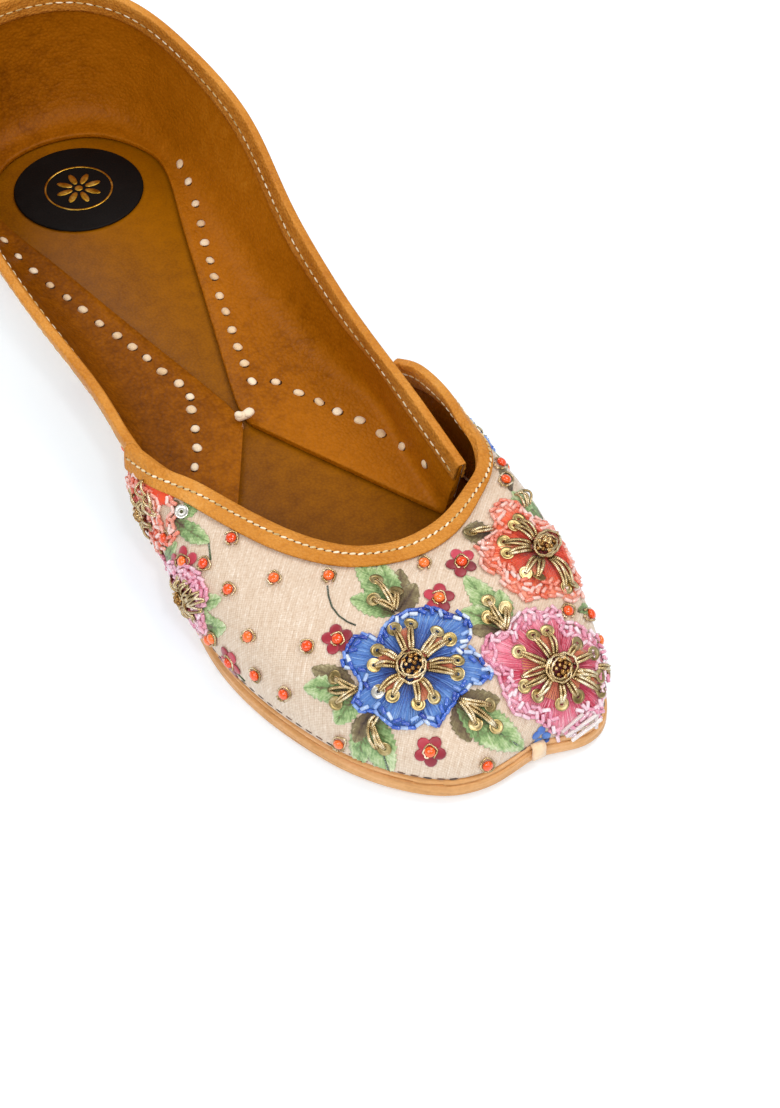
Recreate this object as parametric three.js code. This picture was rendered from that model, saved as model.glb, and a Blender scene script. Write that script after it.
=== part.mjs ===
// A right-foot jutti, a flat slip-on shoe of leather with a short cloth-covered vamp and a low open quarter.
// Millimetres, +Z up, toe towards -Y, +X on the medial (big toe) side, standing on the plane z = 0.
// The origin lies on the ground at half the sole's length, on the heel's own axis.
import * as THREE from "three";

// Sole
const soleLength = 253.2;
const ballWidth = 83;
const outsoleThickness = 3.4;
const midsoleThickness = 1.2;
const insoleThickness = 1.2;
const edgeRound = 0.6;
const midsoleInset = 0.5;
const toeSpring = 2;
const springStart = 0.742; // share of the length from the heel where the sole begins to rise

// Upper
const vampWall = 1.6;
const quarterWall = 1.8;
const boundWall = 1; // both walls are pared to this under their bindings
const flapThickness = 1.4;
const throatHeight = 29;
const heelHeight = 47;
const soleLip = 0.8; // how far the sole stands out past the foot of the vamp
const vampBindingWidth = 5.2;
const quarterBindingWidth = 6.4;
const bindingThickness = 0.6;
const foldRadius = 3.5; // round from the quarter's wall into its flap

// Small pieces
const labelDiameter = 34.5;
const labelThickness = 0.5;
const labelFromHeel = 0.1226; // share of the length, to the middle of the label
const tieLength = 4.6;
const tieThickness = 2.2;
const tackWidth = 3.2;
const tackThickness = 0.8;

// Fit between pieces that lie on each other
const gap = 0.3;

// Levels, each resting on the one below
const midsoleBase = outsoleThickness + gap;
const midsoleTop = midsoleBase + midsoleThickness;
const upperBase = midsoleTop + gap;
const insoleTop = upperBase + insoleThickness;
const flapBase = insoleTop + gap;
const flapTop = flapBase + flapThickness;

// The sole's outline, heel to toe. fromHeel is a share of the length; lateral and medial are shares of the
// ball width, out from the heel's own axis. The last row is the small notch in the blunt toe.
const outlineRows = [
  { fromHeel: 0, lateral: 0, medial: 0 },
  { fromHeel: 0.0139, lateral: 0.193, medial: 0.193 },
  { fromHeel: 0.0612, lateral: 0.317, medial: 0.317 },
  { fromHeel: 0.1363, lateral: 0.357, medial: 0.357 },
  { fromHeel: 0.2348, lateral: 0.341, medial: 0.345 },
  { fromHeel: 0.3612, lateral: 0.311, medial: 0.32 },
  { fromHeel: 0.4797, lateral: 0.325, medial: 0.358 },
  { fromHeel: 0.5902, lateral: 0.39, medial: 0.446 },
  { fromHeel: 0.6927, lateral: 0.436, medial: 0.509 },
  { fromHeel: 0.7644, lateral: 0.452, medial: 0.522 },
  { fromHeel: 0.8238, lateral: 0.427, medial: 0.509 },
  { fromHeel: 0.8808, lateral: 0.371, medial: 0.48 },
  { fromHeel: 0.9292, lateral: 0.301, medial: 0.446 },
  { fromHeel: 0.9687, lateral: 0.207, medial: 0.408 },
  { fromHeel: 0.9932, lateral: 0.108, medial: 0.35 },
  { fromHeel: 1, lateral: 0.006, medial: 0.284 },
  { fromHeel: 0.996, lateral: -0.078, medial: 0.2145 },
  { fromHeel: 0.9913, lateral: -0.15, medial: 0.15 },
];

// The vamp, from its lateral wing round the toe to its medial wing. foot is a row number of the outline,
// on the side given; across and fromHeel place the throat's edge, height is a share of throatHeight, and
// facing turns from the toe (0) to the medial side (90). rise, lean, reach and dip shape the wall between
// foot and throat, in shares of throatHeight.
const vampRows = [
  { side: "lateral", foot: 7.05, across: -0.437, fromHeel: 0.5798, height: 1.0, facing: -80, rise: 0.3, lean: 0.17, reach: 0.04, dip: 0.34, band: 1 },
  { side: "lateral", foot: 7.7, across: -0.392, fromHeel: 0.6197, height: 1.0, facing: -78, rise: 0.36, lean: 0.2, reach: 0.18, dip: 0.18, band: 1 },
  { side: "lateral", foot: 8.4, across: -0.332, fromHeel: 0.6513, height: 1.0, facing: -72, rise: 0.42, lean: 0.21, reach: 0.36, dip: 0.1, band: 1 },
  { side: "lateral", foot: 9.6, across: -0.258, fromHeel: 0.7032, height: 1.0, facing: -62, rise: 0.46, lean: 0.19, reach: 0.55, dip: 0.04, band: 0.96 },
  { side: "lateral", foot: 11.2, across: -0.177, fromHeel: 0.7497, height: 1.0, facing: -50, rise: 0.44, lean: 0.14, reach: 0.75, dip: 0.02, band: 0.88 },
  { side: "lateral", foot: 13.2, across: -0.08, fromHeel: 0.784, height: 1.0, facing: -34, rise: 0.4, lean: 0.08, reach: 0.9, dip: 0.02, band: 0.8 },
  { side: "lateral", foot: 15.2, across: 0.026, fromHeel: 0.799, height: 1.0, facing: -14, rise: 0.37, lean: 0.065, reach: 1.0, dip: 0.02, band: 0.7 },
  { side: "lateral", foot: 17.0, across: 0.124, fromHeel: 0.7995, height: 1.0, facing: 4, rise: 0.36, lean: 0.06, reach: 1.0, dip: 0.02, band: 0.68 },
  { side: "medial", foot: 15.3, across: 0.22, fromHeel: 0.79, height: 1.0, facing: 18, rise: 0.37, lean: 0.06, reach: 0.92, dip: 0.02, band: 0.68 },
  { side: "medial", foot: 13.5, across: 0.318, fromHeel: 0.7695, height: 1.0, facing: 36, rise: 0.4, lean: 0.08, reach: 0.7, dip: 0.03, band: 0.68 },
  { side: "medial", foot: 12.0, across: 0.384, fromHeel: 0.7517, height: 1.0, facing: 58, rise: 0.42, lean: 0.1, reach: 0.45, dip: 0.08, band: 0.7 },
  { side: "medial", foot: 10.6, across: 0.427, fromHeel: 0.7241, height: 1.0, facing: 74, rise: 0.4, lean: 0.12, reach: 0.25, dip: 0.18, band: 0.78 },
  { side: "medial", foot: 9.3, across: 0.437, fromHeel: 0.6894, height: 1.0, facing: 86, rise: 0.36, lean: 0.13, reach: 0.14, dip: 0.26, band: 0.82 },
  { side: "medial", foot: 8.3, across: 0.452, fromHeel: 0.6462, height: 0.965, facing: 90, rise: 0.32, lean: 0.12, reach: 0.07, dip: 0.32, band: 0.86 },
  { side: "medial", foot: 7.6, across: 0.445, fromHeel: 0.6004, height: 0.895, facing: 95, rise: 0.3, lean: 0.1, reach: 0.02, dip: 0.36, band: 0.9 },
  { side: "medial", foot: 7.0, across: 0.41, fromHeel: 0.5763, height: 0.83, facing: 95, rise: 0.3, lean: 0.09, reach: 0.02, dip: 0.36, band: 0.9 },
];

// The quarter, from its lateral front end round the heel to its medial front end. footX and footY place the
// outer foot of the wall, topX and topY its top edge, flapX and flapY the inner edge of the flap on the
// insole; X is a share of the ball width and Y of the length from the heel. height is a share of heelHeight,
// bulge is how far the wall stands out at half its height, a share of heelHeight, and lift is 1 where the
// wall stands on the insole and 0 where it stands beside it, on the midsole.
const quarterRows = [
  { footX: -0.352, footY: 0.7166, topX: -0.352, topY: 0.7166, height: 0.45, flapX: -0.012, flapY: 0.5265, bulge: 0, lift: 1, band: 0.7 },
  { footX: -0.37, footY: 0.6369, topX: -0.382, topY: 0.635, height: 0.49, flapX: -0.007, flapY: 0.5195, bulge: 0, lift: 1, band: 0.76 },
  { footX: -0.352, footY: 0.5573, topX: -0.4115, topY: 0.5573, height: 0.532, flapX: -0.007, flapY: 0.5086, bulge: 0.01, lift: 0.125, band: 0.86 },
  { footX: -0.313, footY: 0.4795, topX: -0.414, topY: 0.48, height: 0.575, flapX: -0.024, flapY: 0.4757, bulge: 0.02, lift: 0, band: 0.96 },
  { footX: -0.298, footY: 0.3612, topX: -0.463, topY: 0.3611, height: 0.664, flapX: -0.115, flapY: 0.3583, bulge: 0.02, lift: 0, band: 1 },
  { footX: -0.328, footY: 0.2348, topX: -0.475, topY: 0.2348, height: 0.785, flapX: -0.208, flapY: 0.2348, bulge: 0.03, lift: 0, band: 1 },
  { footX: -0.343, footY: 0.1363, topX: -0.412, topY: 0.1314, height: 0.885, flapX: -0.284, flapY: 0.1363, bulge: 0.05, lift: 0, band: 1 },
  { footX: -0.304, footY: 0.0632, topX: -0.33, topY: 0.0498, height: 0.955, flapX: -0.25, flapY: 0.0876, bulge: 0.06, lift: 0, band: 1 },
  { footX: -0.186, footY: 0.0185, topX: -0.19, topY: 0.002, height: 0.99, flapX: -0.15, flapY: 0.0498, bulge: 0.06, lift: 0, band: 1 },
  { footX: 0, footY: 0.0048, topX: 0, topY: -0.0119, height: 1, flapX: 0, flapY: 0.0378, bulge: 0.06, lift: 0, band: 1 },
  { footX: 0.186, footY: 0.0185, topX: 0.19, topY: 0.002, height: 0.99, flapX: 0.15, flapY: 0.0498, bulge: 0.06, lift: 0, band: 1 },
  { footX: 0.304, footY: 0.0632, topX: 0.33, topY: 0.0498, height: 0.955, flapX: 0.25, flapY: 0.0876, bulge: 0.06, lift: 0, band: 1 },
  { footX: 0.343, footY: 0.1363, topX: 0.41, topY: 0.1314, height: 0.88, flapX: 0.284, flapY: 0.1363, bulge: 0.05, lift: 0, band: 1 },
  { footX: 0.332, footY: 0.2348, topX: 0.452, topY: 0.2348, height: 0.77, flapX: 0.208, flapY: 0.2348, bulge: 0.03, lift: 0, band: 1 },
  { footX: 0.307, footY: 0.3612, topX: 0.4045, topY: 0.3611, height: 0.65, flapX: 0.115, flapY: 0.3583, bulge: 0.02, lift: 0, band: 1 },
  { footX: 0.342, footY: 0.4795, topX: 0.3795, topY: 0.4795, height: 0.596, flapX: 0.024, flapY: 0.4757, bulge: 0.02, lift: 0, band: 1 },
  { footX: 0.401, footY: 0.5573, topX: 0.37, topY: 0.5573, height: 0.596, flapX: 0.007, flapY: 0.5086, bulge: 0.01, lift: 0.125, band: 0.95 },
  { footX: 0.375, footY: 0.6369, topX: 0.371, topY: 0.6369, height: 0.58, flapX: 0.007, flapY: 0.5195, bulge: 0, lift: 1, band: 0.85 },
  { footX: 0.355, footY: 0.7166, topX: 0.366, topY: 0.7325, height: 0.55, flapX: 0.012, flapY: 0.5265, bulge: 0, lift: 1, band: 0.8 },
];

// Sections along each piece
const outlineSteps = 3; // per row of the outline
const pairedRows = 13; // the rows behind the notched toe
const vampStations = 56;
const vampRings = 9;
const quarterStations = 54;
const quarterRings = 6;
const labelSides = 40;

const outlineLast = outlineRows.length - 1;
const outlineSpan = 2 * outlineLast;

const alongY = (fromHeel) => soleLength * (0.5 - fromHeel);
const fromHeelAt = (y) => 0.5 - y / soleLength;

// How far the sole has risen at y: nothing from the heel to the ball, then a parabola up to the toe.
function springAt(y) {
  const past = Math.max(0, (fromHeelAt(y) - springStart) / (1 - springStart));
  return toeSpring * past * past;
}

// The outline as one closed curve: heel, lateral side, toe notch, medial side.
const outlineCurve = new THREE.CatmullRomCurve3(
  [
    ...outlineRows.map((row) => new THREE.Vector3(-row.lateral * ballWidth, alongY(row.fromHeel), 0)),
    ...outlineRows
      .slice(1, outlineLast)
      .reverse()
      .map((row) => new THREE.Vector3(row.medial * ballWidth, alongY(row.fromHeel), 0)),
  ],
  true,
  "centripetal",
);

// A point of the outline, moved inwards by inset. at is a row number, counted on from the notch on the medial side.
function outlinePoint(at, inset = 0) {
  const share = (((at / outlineSpan) % 1) + 1) % 1;
  const point = outlineCurve.getPoint(share);
  const tangent = outlineCurve.getTangent(share);
  return new THREE.Vector3(point.x + tangent.y * -inset, point.y + tangent.x * inset, 0);
}

const outlineRowOf = (row) => (row.side === "medial" ? outlineSpan - row.foot : row.foot);

// The value of a table's column at a row number that need not be whole, on a smooth curve through the rows.
function columnAt(rows, read, at) {
  const low = Math.min(Math.max(Math.floor(at), 0), rows.length - 2);
  const t = at - low;
  const value = (i) => read(rows[Math.min(Math.max(i, 0), rows.length - 1)]);
  const [before, from, to, after] = [value(low - 1), value(low), value(low + 1), value(low + 2)];
  const startSlope = (to - before) / 2;
  const endSlope = (after - from) / 2;
  const t2 = t * t;
  const t3 = t2 * t;
  return (
    (2 * t3 - 3 * t2 + 1) * from +
    (t3 - 2 * t2 + t) * startSlope +
    (-2 * t3 + 3 * t2) * to +
    (t3 - t2) * endSlope
  );
}

// A closed mesh from rings of equal length. Each ring is a loop of points; the end loops are closed by faces.
function meshFromLoops(loops, closeEnd) {
  const count = loops[0].length;
  const positions = loops.flat().flatMap((p) => [p.x, p.y, p.z + springAt(p.y)]);
  const index = [];
  for (let k = 0; k + 1 < loops.length; k++) {
    for (let i = 0; i < count; i++) {
      const next = (i + 1) % count;
      const [a, b, c, d] = [k * count + i, k * count + next, (k + 1) * count + next, (k + 1) * count + i];
      index.push(a, b, c, a, c, d);
    }
  }
  closeEnd(loops[0]).forEach(([a, b, c]) => index.push(a, c, b));
  const last = (loops.length - 1) * count;
  closeEnd(loops[loops.length - 1]).forEach(([a, b, c]) => index.push(last + a, last + b, last + c));
  const geometry = new THREE.BufferGeometry();
  geometry.setAttribute("position", new THREE.Float32BufferAttribute(positions, 3));
  geometry.setIndex(index);
  geometry.computeVertexNormals();
  return facingOut(geometry);
}

// The same geometry with its faces turned to point outwards, whichever way its loops ran.
function facingOut(geometry) {
  const p = geometry.getAttribute("position");
  const index = geometry.getIndex();
  const corner = (i) => new THREE.Vector3().fromBufferAttribute(p, index.getX(i));
  let volume = 0;
  for (let i = 0; i < index.count; i += 3) {
    volume += corner(i).dot(corner(i + 1).cross(corner(i + 2)));
  }
  if (volume < 0) {
    for (let i = 0; i < index.count; i += 3) {
      const second = index.getX(i + 1);
      index.setX(i + 1, index.getX(i + 2));
      index.setX(i + 2, second);
    }
    geometry.computeVertexNormals();
  }
  return geometry;
}

// Faces across a loop that runs round the outline. Behind the toe each lateral point is joined to its medial
// partner, so that the faces follow the toe spring; the notched toe itself is filled as one flat piece.
function acrossTheSole(loop) {
  const count = loop.length;
  const pairs = pairedRows * outlineSteps;
  const faces = [[0, 1, count - 1]];
  for (let i = 1; i < pairs; i++) {
    faces.push([i, i + 1, count - i], [i + 1, count - i - 1, count - i]);
  }
  const toe = loop.slice(pairs, count - pairs + 1);
  THREE.ShapeUtils.triangulateShape(toe.map((p) => new THREE.Vector2(p.x, p.y)), []).forEach(([a, b, c]) => {
    faces.push([a + pairs, b + pairs, c + pairs]);
  });
  const turnOf = ([a, b, c]) => {
    const [p, q, r] = [loop[a], loop[b], loop[c]];
    return (q.x - p.x) * (r.y - p.y) - (q.y - p.y) * (r.x - p.x);
  };
  const wanted = Math.sign(turnOf(faces[1]));
  return faces.map((face) => (Math.sign(turnOf(face)) === wanted ? face : [face[0], face[2], face[1]]));
}

// Faces over a plane section, found in the plane that fits its widest stretch.
function acrossTheSection(loop) {
  const normal = new THREE.Vector3();
  loop.forEach((p, i) => {
    const next = loop[(i + 1) % loop.length];
    normal.add(p.clone().cross(next));
  });
  normal.normalize();
  const side = loop[1].clone().sub(loop[0]).normalize();
  const up = normal.clone().cross(side);
  const flat = loop.map((p) => new THREE.Vector2(p.dot(side), p.dot(up)));
  const faces = THREE.ShapeUtils.triangulateShape(flat, []);
  return faces.map(([a, b, c]) => {
    const turn = flat[b].clone().sub(flat[a]).cross(flat[c].clone().sub(flat[a]));
    return turn > 0 ? [a, b, c] : [a, c, b];
  });
}

// A layer of the sole: a loop round the outline at each level, given as an inset and a height.
function soleLayer(levels) {
  const count = outlineSpan * outlineSteps;
  const loops = levels.map(({ inset, z }) =>
    Array.from({ length: count }, (_, i) => outlinePoint(i / outlineSteps, inset).setZ(z)),
  );
  return meshFromLoops(loops, acrossTheSole);
}

function outsole() {
  return soleLayer([
    { inset: edgeRound, z: 0 },
    { inset: 0, z: edgeRound },
    { inset: 0, z: outsoleThickness - edgeRound },
    { inset: edgeRound / 2, z: outsoleThickness },
  ]);
}

function midsole() {
  return soleLayer([
    { inset: midsoleInset, z: midsoleBase },
    { inset: midsoleInset, z: midsoleTop - edgeRound / 2 },
    { inset: midsoleInset + edgeRound / 2, z: midsoleTop },
  ]);
}

function insole() {
  const inset = soleLip + Math.max(vampWall, quarterWall) + 2 * gap;
  return soleLayer([
    { inset, z: upperBase },
    { inset, z: insoleTop },
  ]);
}

// A point of the vamp's outer face. u runs over the table's rows from wing to wing, v from foot to throat.
function vampFace(u, v) {
  const at = u * (vampRows.length - 1);
  const read = (key) => columnAt(vampRows, (row) => row[key], at);
  const foot = outlinePoint(columnAt(vampRows, outlineRowOf, at), soleLip).setZ(upperBase);
  const throat = new THREE.Vector3(
    read("across") * ballWidth,
    alongY(read("fromHeel")),
    read("height") * throatHeight,
  );
  const facing = THREE.MathUtils.degToRad(read("facing"));
  const outward = new THREE.Vector3(Math.sin(facing), -Math.cos(facing), 0);
  const low = foot.clone().addScaledVector(outward, read("lean") * throatHeight);
  low.z += read("rise") * throatHeight;
  const high = throat.clone().addScaledVector(outward, read("reach") * throatHeight);
  high.z -= read("dip") * throatHeight;
  return new THREE.CubicBezierCurve3(foot, low, high, throat).getPoint(v);
}

// A point of the quarter's outer face. u runs over the table's rows round the heel, v from foot to top.
function quarterFace(u, v) {
  const at = u * (quarterRows.length - 1);
  const read = (key) => columnAt(quarterRows, (row) => row[key], at);
  const foot = new THREE.Vector3(read("footX") * ballWidth, alongY(read("footY")), quarterBase(u));
  const top = new THREE.Vector3(read("topX") * ballWidth, alongY(read("topY")), read("height") * heelHeight);
  const point = foot.clone().lerp(top, v);
  const ahead = Math.min(u + 1e-3, 1);
  const behind = ahead - 2e-3;
  const step = (where) => {
    const row = where * (quarterRows.length - 1);
    const x = columnAt(quarterRows, (r) => r.footX, row) * ballWidth;
    return new THREE.Vector2(x, alongY(columnAt(quarterRows, (r) => r.footY, row)));
  };
  const along = step(ahead).sub(step(behind)).normalize();
  const stand = read("bulge") * heelHeight * 4 * v * (1 - v);
  return point.add(new THREE.Vector3(-along.y * stand, along.x * stand, 0));
}

function quarterBase(u) {
  const lift = columnAt(quarterRows, (row) => row.lift, u * (quarterRows.length - 1));
  const onInsole = insoleTop + gap / 2;
  return THREE.MathUtils.lerp(upperBase, onInsole, THREE.MathUtils.clamp(lift * 8, 0, 1));
}

// Each wall's outer face with its table. turn is 1 where the rows run clockwise seen from above, and -1 where
// they run the other way, so that outwards is the same for both.
const vampShell = { face: vampFace, rows: vampRows, wall: vampWall, turn: -1 };
const quarterShell = { face: quarterFace, rows: quarterRows, wall: quarterWall, turn: 1 };

// A point off a shell's face: out along its normal by offset, and on past its top edge by beyond.
function offFace({ face, turn }, u, v, offset, beyond = 0) {
  const step = 1e-3;
  const [u0, u1] = [Math.max(u - step, 0), Math.min(u + step, 1)];
  const [v0, v1] = [Math.max(v - step, 0), Math.min(v + step, 1)];
  const along = face(u1, v).sub(face(u0, v));
  const up = face(u, v1).sub(face(u, v0));
  const normal = up.clone().cross(along).normalize();
  return face(u, v).addScaledVector(normal, turn * offset).addScaledVector(up.normalize(), beyond);
}

// The thickness of a shell's wall at v, pared down towards its bound top edge.
const wallAt = ({ wall }, v) => THREE.MathUtils.lerp(wall, boundWall, THREE.MathUtils.smoothstep(v, 0.45, 0.8));

const shares = (count, from = 0, to = 1) =>
  Array.from({ length: count + 1 }, (_, i) => from + ((to - from) * i) / count);

function faceLength(face, u) {
  const points = shares(12).map((v) => face(u, v));
  return points.slice(1).reduce((sum, p, i) => sum + p.distanceTo(points[i]), 0);
}

function vamp() {
  const loops = shares(vampStations).map((u) => [
    ...shares(vampRings).map((v) => vampFace(u, v)),
    ...shares(vampRings, 1, 0).map((v) => {
      const point = offFace(vampShell, u, v, -wallAt(vampShell, v));
      return v === 0 ? point.setZ(upperBase) : point;
    }),
  ]);
  return meshFromLoops(loops, acrossTheSection);
}

// The quarter's section: up the outer face, down the inner face, round into the flap and back under it.
function quarterSection(u) {
  const at = u * (quarterRows.length - 1);
  const flapX = columnAt(quarterRows, (row) => row.flapX, at) * ballWidth;
  const flapY = alongY(columnAt(quarterRows, (row) => row.flapY, at));
  const base = quarterBase(u);
  const outer = shares(quarterRings).map((v) => quarterFace(u, v));
  const height = outer[quarterRings].z - base;
  const foldShare = (flapTop + foldRadius - base) / height;
  const inner = shares(quarterRings - 1, 1, foldShare).map((v) => {
    return offFace(quarterShell, u, v, -wallAt(quarterShell, v));
  });
  const foldTop = inner[inner.length - 1];
  const innerFoot = offFace(quarterShell, u, 0.01, -quarterWall);
  const toEdge = new THREE.Vector2(flapX - innerFoot.x, flapY - innerFoot.y);
  const reach = Math.min(foldRadius, toEdge.length() * 0.6);
  toEdge.normalize();
  const landing = new THREE.Vector3(innerFoot.x + toEdge.x * reach, innerFoot.y + toEdge.y * reach, flapTop);
  const corner = new THREE.Vector3(innerFoot.x, innerFoot.y, flapTop);
  const fold = new THREE.QuadraticBezierCurve3(foldTop, corner, landing);
  return [
    ...outer,
    ...inner,
    fold.getPoint(0.35),
    fold.getPoint(0.7),
    landing,
    new THREE.Vector3(flapX, flapY, flapTop),
    new THREE.Vector3(flapX, flapY, flapBase),
    new THREE.Vector3(innerFoot.x, innerFoot.y, flapBase),
    new THREE.Vector3(innerFoot.x, innerFoot.y, base),
  ];
}

function quarter() {
  return meshFromLoops(shares(quarterStations).map(quarterSection), acrossTheSection);
}

// A strip of leather folded over the top edge of a wall, clear of it by the gap.
function binding(shell, width, stations) {
  const outerFace = gap + bindingThickness;
  const wall = boundWall;
  const innerFace = -(wall + gap + bindingThickness);
  const loops = shares(stations).map((u) => {
    const share = columnAt(shell.rows, (row) => row.band, u * (shell.rows.length - 1));
    const lower = 1 - (share * width) / faceLength(shell.face, u);
    const middle = (1 + lower) / 2;
    const point = (v, offset, beyond = 0) => offFace(shell, u, v, offset, beyond);
    const over = gap + bindingThickness;
    return [
      point(lower, outerFace),
      point(middle, outerFace),
      point(1, outerFace),
      point(1, outerFace / 2, over),
      point(1, innerFace / 2, over * 1.1),
      point(1, (innerFace - wall) / 2, over),
      point(1, innerFace),
      point(middle, innerFace),
      point(lower, innerFace),
      point(lower, -(wall + gap)),
      point(middle, -(wall + gap)),
      point(1, -(wall + gap), gap),
      point(1, gap, gap),
      point(middle, gap),
      point(lower, gap),
    ];
  });
  return meshFromLoops(loops, acrossTheSection);
}

// A round patch on the insole at the heel.
function heelLabel() {
  const middle = alongY(labelFromHeel);
  const ring = (radius, z) =>
    Array.from({ length: labelSides }, (_, i) => {
      const turn = (2 * Math.PI * i) / labelSides;
      return new THREE.Vector3(radius * Math.cos(turn), middle + radius * Math.sin(turn), z);
    });
  const base = insoleTop + gap;
  const radius = labelDiameter / 2;
  const loops = [ring(radius, base), ring(radius, base + labelThickness / 2)];
  loops.push(ring(radius - labelThickness / 2, base + labelThickness));
  return meshFromLoops(loops, acrossTheSection);
}

// A short length of thick thread that ties the two flaps where they meet.
function centreTie() {
  const shape = new THREE.CapsuleGeometry(tieThickness / 2, tieLength - tieThickness, 4, 12);
  shape.rotateZ(Math.PI / 2);
  const flapMeeting = alongY(columnAt(quarterRows, (row) => row.flapY, 1));
  shape.translate(0, flapMeeting, flapTop + gap + tieThickness / 2);
  shape.deleteAttribute("normal");
  shape.deleteAttribute("uv");
  return shape;
}

// The strap of thread over the sole's edge in the notch of the toe, bent over the sole's lip to the vamp.
function toeTack() {
  const notch = outlinePoint(outlineLast);
  const beside = (point) => Math.abs(point.x - notch.x) < tackWidth / 2 + gap;
  const soleEdge = shares(40, outlineLast - 1, outlineLast + 1).map((at) => outlinePoint(at));
  const vampEdge = shares(60, 0.35, 0.65).flatMap((u) => [0, 0.04, 0.08].map((v) => vampFace(u, v)));
  const front = Math.min(...soleEdge.filter(beside).map((point) => point.y)) - gap;
  const back = Math.min(...vampEdge.filter(beside).map((point) => point.y)) - gap;
  const low = outsoleThickness * 0.35;
  const high = midsoleTop + gap;
  const side = (x) => [
    new THREE.Vector3(x, front, low),
    new THREE.Vector3(x, front, high),
    new THREE.Vector3(x, back, high),
    new THREE.Vector3(x, back, high + tackThickness),
    new THREE.Vector3(x, front - tackThickness * 0.4, high + tackThickness),
    new THREE.Vector3(x, front - tackThickness, high),
    new THREE.Vector3(x, front - tackThickness, low + tackThickness / 2),
  ];
  return meshFromLoops([side(notch.x - tackWidth / 2), side(notch.x + tackWidth / 2)], acrossTheSection);
}

const finishes = {
  edgeLeather: new THREE.MeshStandardMaterial({ color: 0xd9a066, roughness: 0.6 }),
  insoleLeather: new THREE.MeshStandardMaterial({ color: 0x9c6214, roughness: 0.5 }),
  liningLeather: new THREE.MeshStandardMaterial({ color: 0xa5651a, roughness: 0.45 }),
  bindingLeather: new THREE.MeshStandardMaterial({ color: 0xd1832b, roughness: 0.5 }),
  creamCloth: new THREE.MeshStandardMaterial({ color: 0xe8d7c0, roughness: 0.8 }),
  labelCloth: new THREE.MeshStandardMaterial({ color: 0x17110d, roughness: 0.6 }),
  cottonThread: new THREE.MeshStandardMaterial({ color: 0xe6cfae, roughness: 0.9 }),
};

function piece(name, geometry, finish) {
  const mesh = new THREE.Mesh(geometry, finishes[finish]);
  mesh.name = name;
  return mesh;
}

const jutti = new THREE.Group();
jutti.add(
  piece("outsole", outsole(), "edgeLeather"),
  piece("midsole", midsole(), "edgeLeather"),
  piece("insole", insole(), "insoleLeather"),
  piece("vamp", vamp(), "creamCloth"),
  piece("vamp_binding", binding(vampShell, vampBindingWidth, vampStations), "bindingLeather"),
  piece("quarter", quarter(), "liningLeather"),
  piece("quarter_binding", binding(quarterShell, quarterBindingWidth, quarterStations), "bindingLeather"),
  piece("heel_label", heelLabel(), "labelCloth"),
  piece("centre_tie", centreTie(), "cottonThread"),
  piece("toe_tack", toeTack(), "cottonThread"),
);

export default jutti;
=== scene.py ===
import math
import random

import bmesh
import bpy
from mathutils import Matrix, Vector
from mathutils.bvhtree import BVHTree


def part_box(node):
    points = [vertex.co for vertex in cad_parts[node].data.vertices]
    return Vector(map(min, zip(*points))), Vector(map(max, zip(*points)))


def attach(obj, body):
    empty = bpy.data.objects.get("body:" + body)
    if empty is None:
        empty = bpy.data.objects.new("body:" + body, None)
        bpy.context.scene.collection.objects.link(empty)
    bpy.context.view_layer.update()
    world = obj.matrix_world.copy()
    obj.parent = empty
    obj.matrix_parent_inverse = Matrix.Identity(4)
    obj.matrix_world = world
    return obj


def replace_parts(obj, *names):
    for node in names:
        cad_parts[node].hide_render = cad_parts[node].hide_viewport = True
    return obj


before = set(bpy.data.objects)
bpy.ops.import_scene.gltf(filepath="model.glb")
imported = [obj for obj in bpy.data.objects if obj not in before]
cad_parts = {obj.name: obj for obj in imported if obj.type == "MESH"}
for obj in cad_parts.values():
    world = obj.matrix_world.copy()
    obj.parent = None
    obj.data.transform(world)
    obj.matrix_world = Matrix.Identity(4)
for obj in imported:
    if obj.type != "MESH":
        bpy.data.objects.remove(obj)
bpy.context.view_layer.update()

mm = 0.001
chance = random.Random(7)

# ---------------------------------------------------------------- camera, light and floor

# The camera stands where the photograph was taken. Points written "px" below are pixels of a frame 780 wide
# and 1108 high, and sight_line turns them into rays.
frame_height_px = 1108
frame_middle_px = Vector((390, frame_height_px / 2))
focal_px = 2600
camera_right = Vector((0.88197, -0.47132, 0))
camera_up = Vector((0.3468, 0.6490, 0.6771)).normalized()
camera_back = camera_right.cross(camera_up).normalized()
camera_target = Vector((13.81, -54.08, 0)) * mm
camera_distance = 611.1 * mm
camera_place = camera_target + camera_back * camera_distance

camera_data = bpy.data.cameras.new("camera")
camera_data.sensor_width = 36
camera_data.lens = 36 * focal_px / frame_height_px
camera_data.clip_start = 0.02
camera_data.clip_end = 20
camera = bpy.data.objects.new("camera", camera_data)
turned = Matrix((camera_right, camera_up, camera_back)).transposed().to_4x4()
camera.matrix_world = Matrix.Translation(camera_place) @ turned
bpy.context.scene.collection.objects.link(camera)
bpy.context.scene.camera = camera
bpy.context.scene.view_settings.view_transform = "Standard"


def sight_line(x_px, y_px, right=camera_right, up=camera_up, back=camera_back):
    """The direction through a pixel from the camera, or from another standpoint."""
    across = (x_px - frame_middle_px.x) / focal_px
    down = (y_px - frame_middle_px.y) / focal_px
    return (right * across - up * down - back).normalized()


def softbox(name, place, size, power, colour=(1, 1, 1)):
    """A square area light that looks at the forefoot."""
    data = bpy.data.lights.new(name, "AREA")
    data.shape = "SQUARE"
    data.size = size
    data.energy = power
    data.color = colour
    light = bpy.data.objects.new(name, data)
    light.location = place
    aim = Vector((0.0, -0.03, 0.01)) - Vector(place)
    light.rotation_euler = aim.to_track_quat("-Z", "Y").to_euler()
    bpy.context.scene.collection.objects.link(light)


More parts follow.
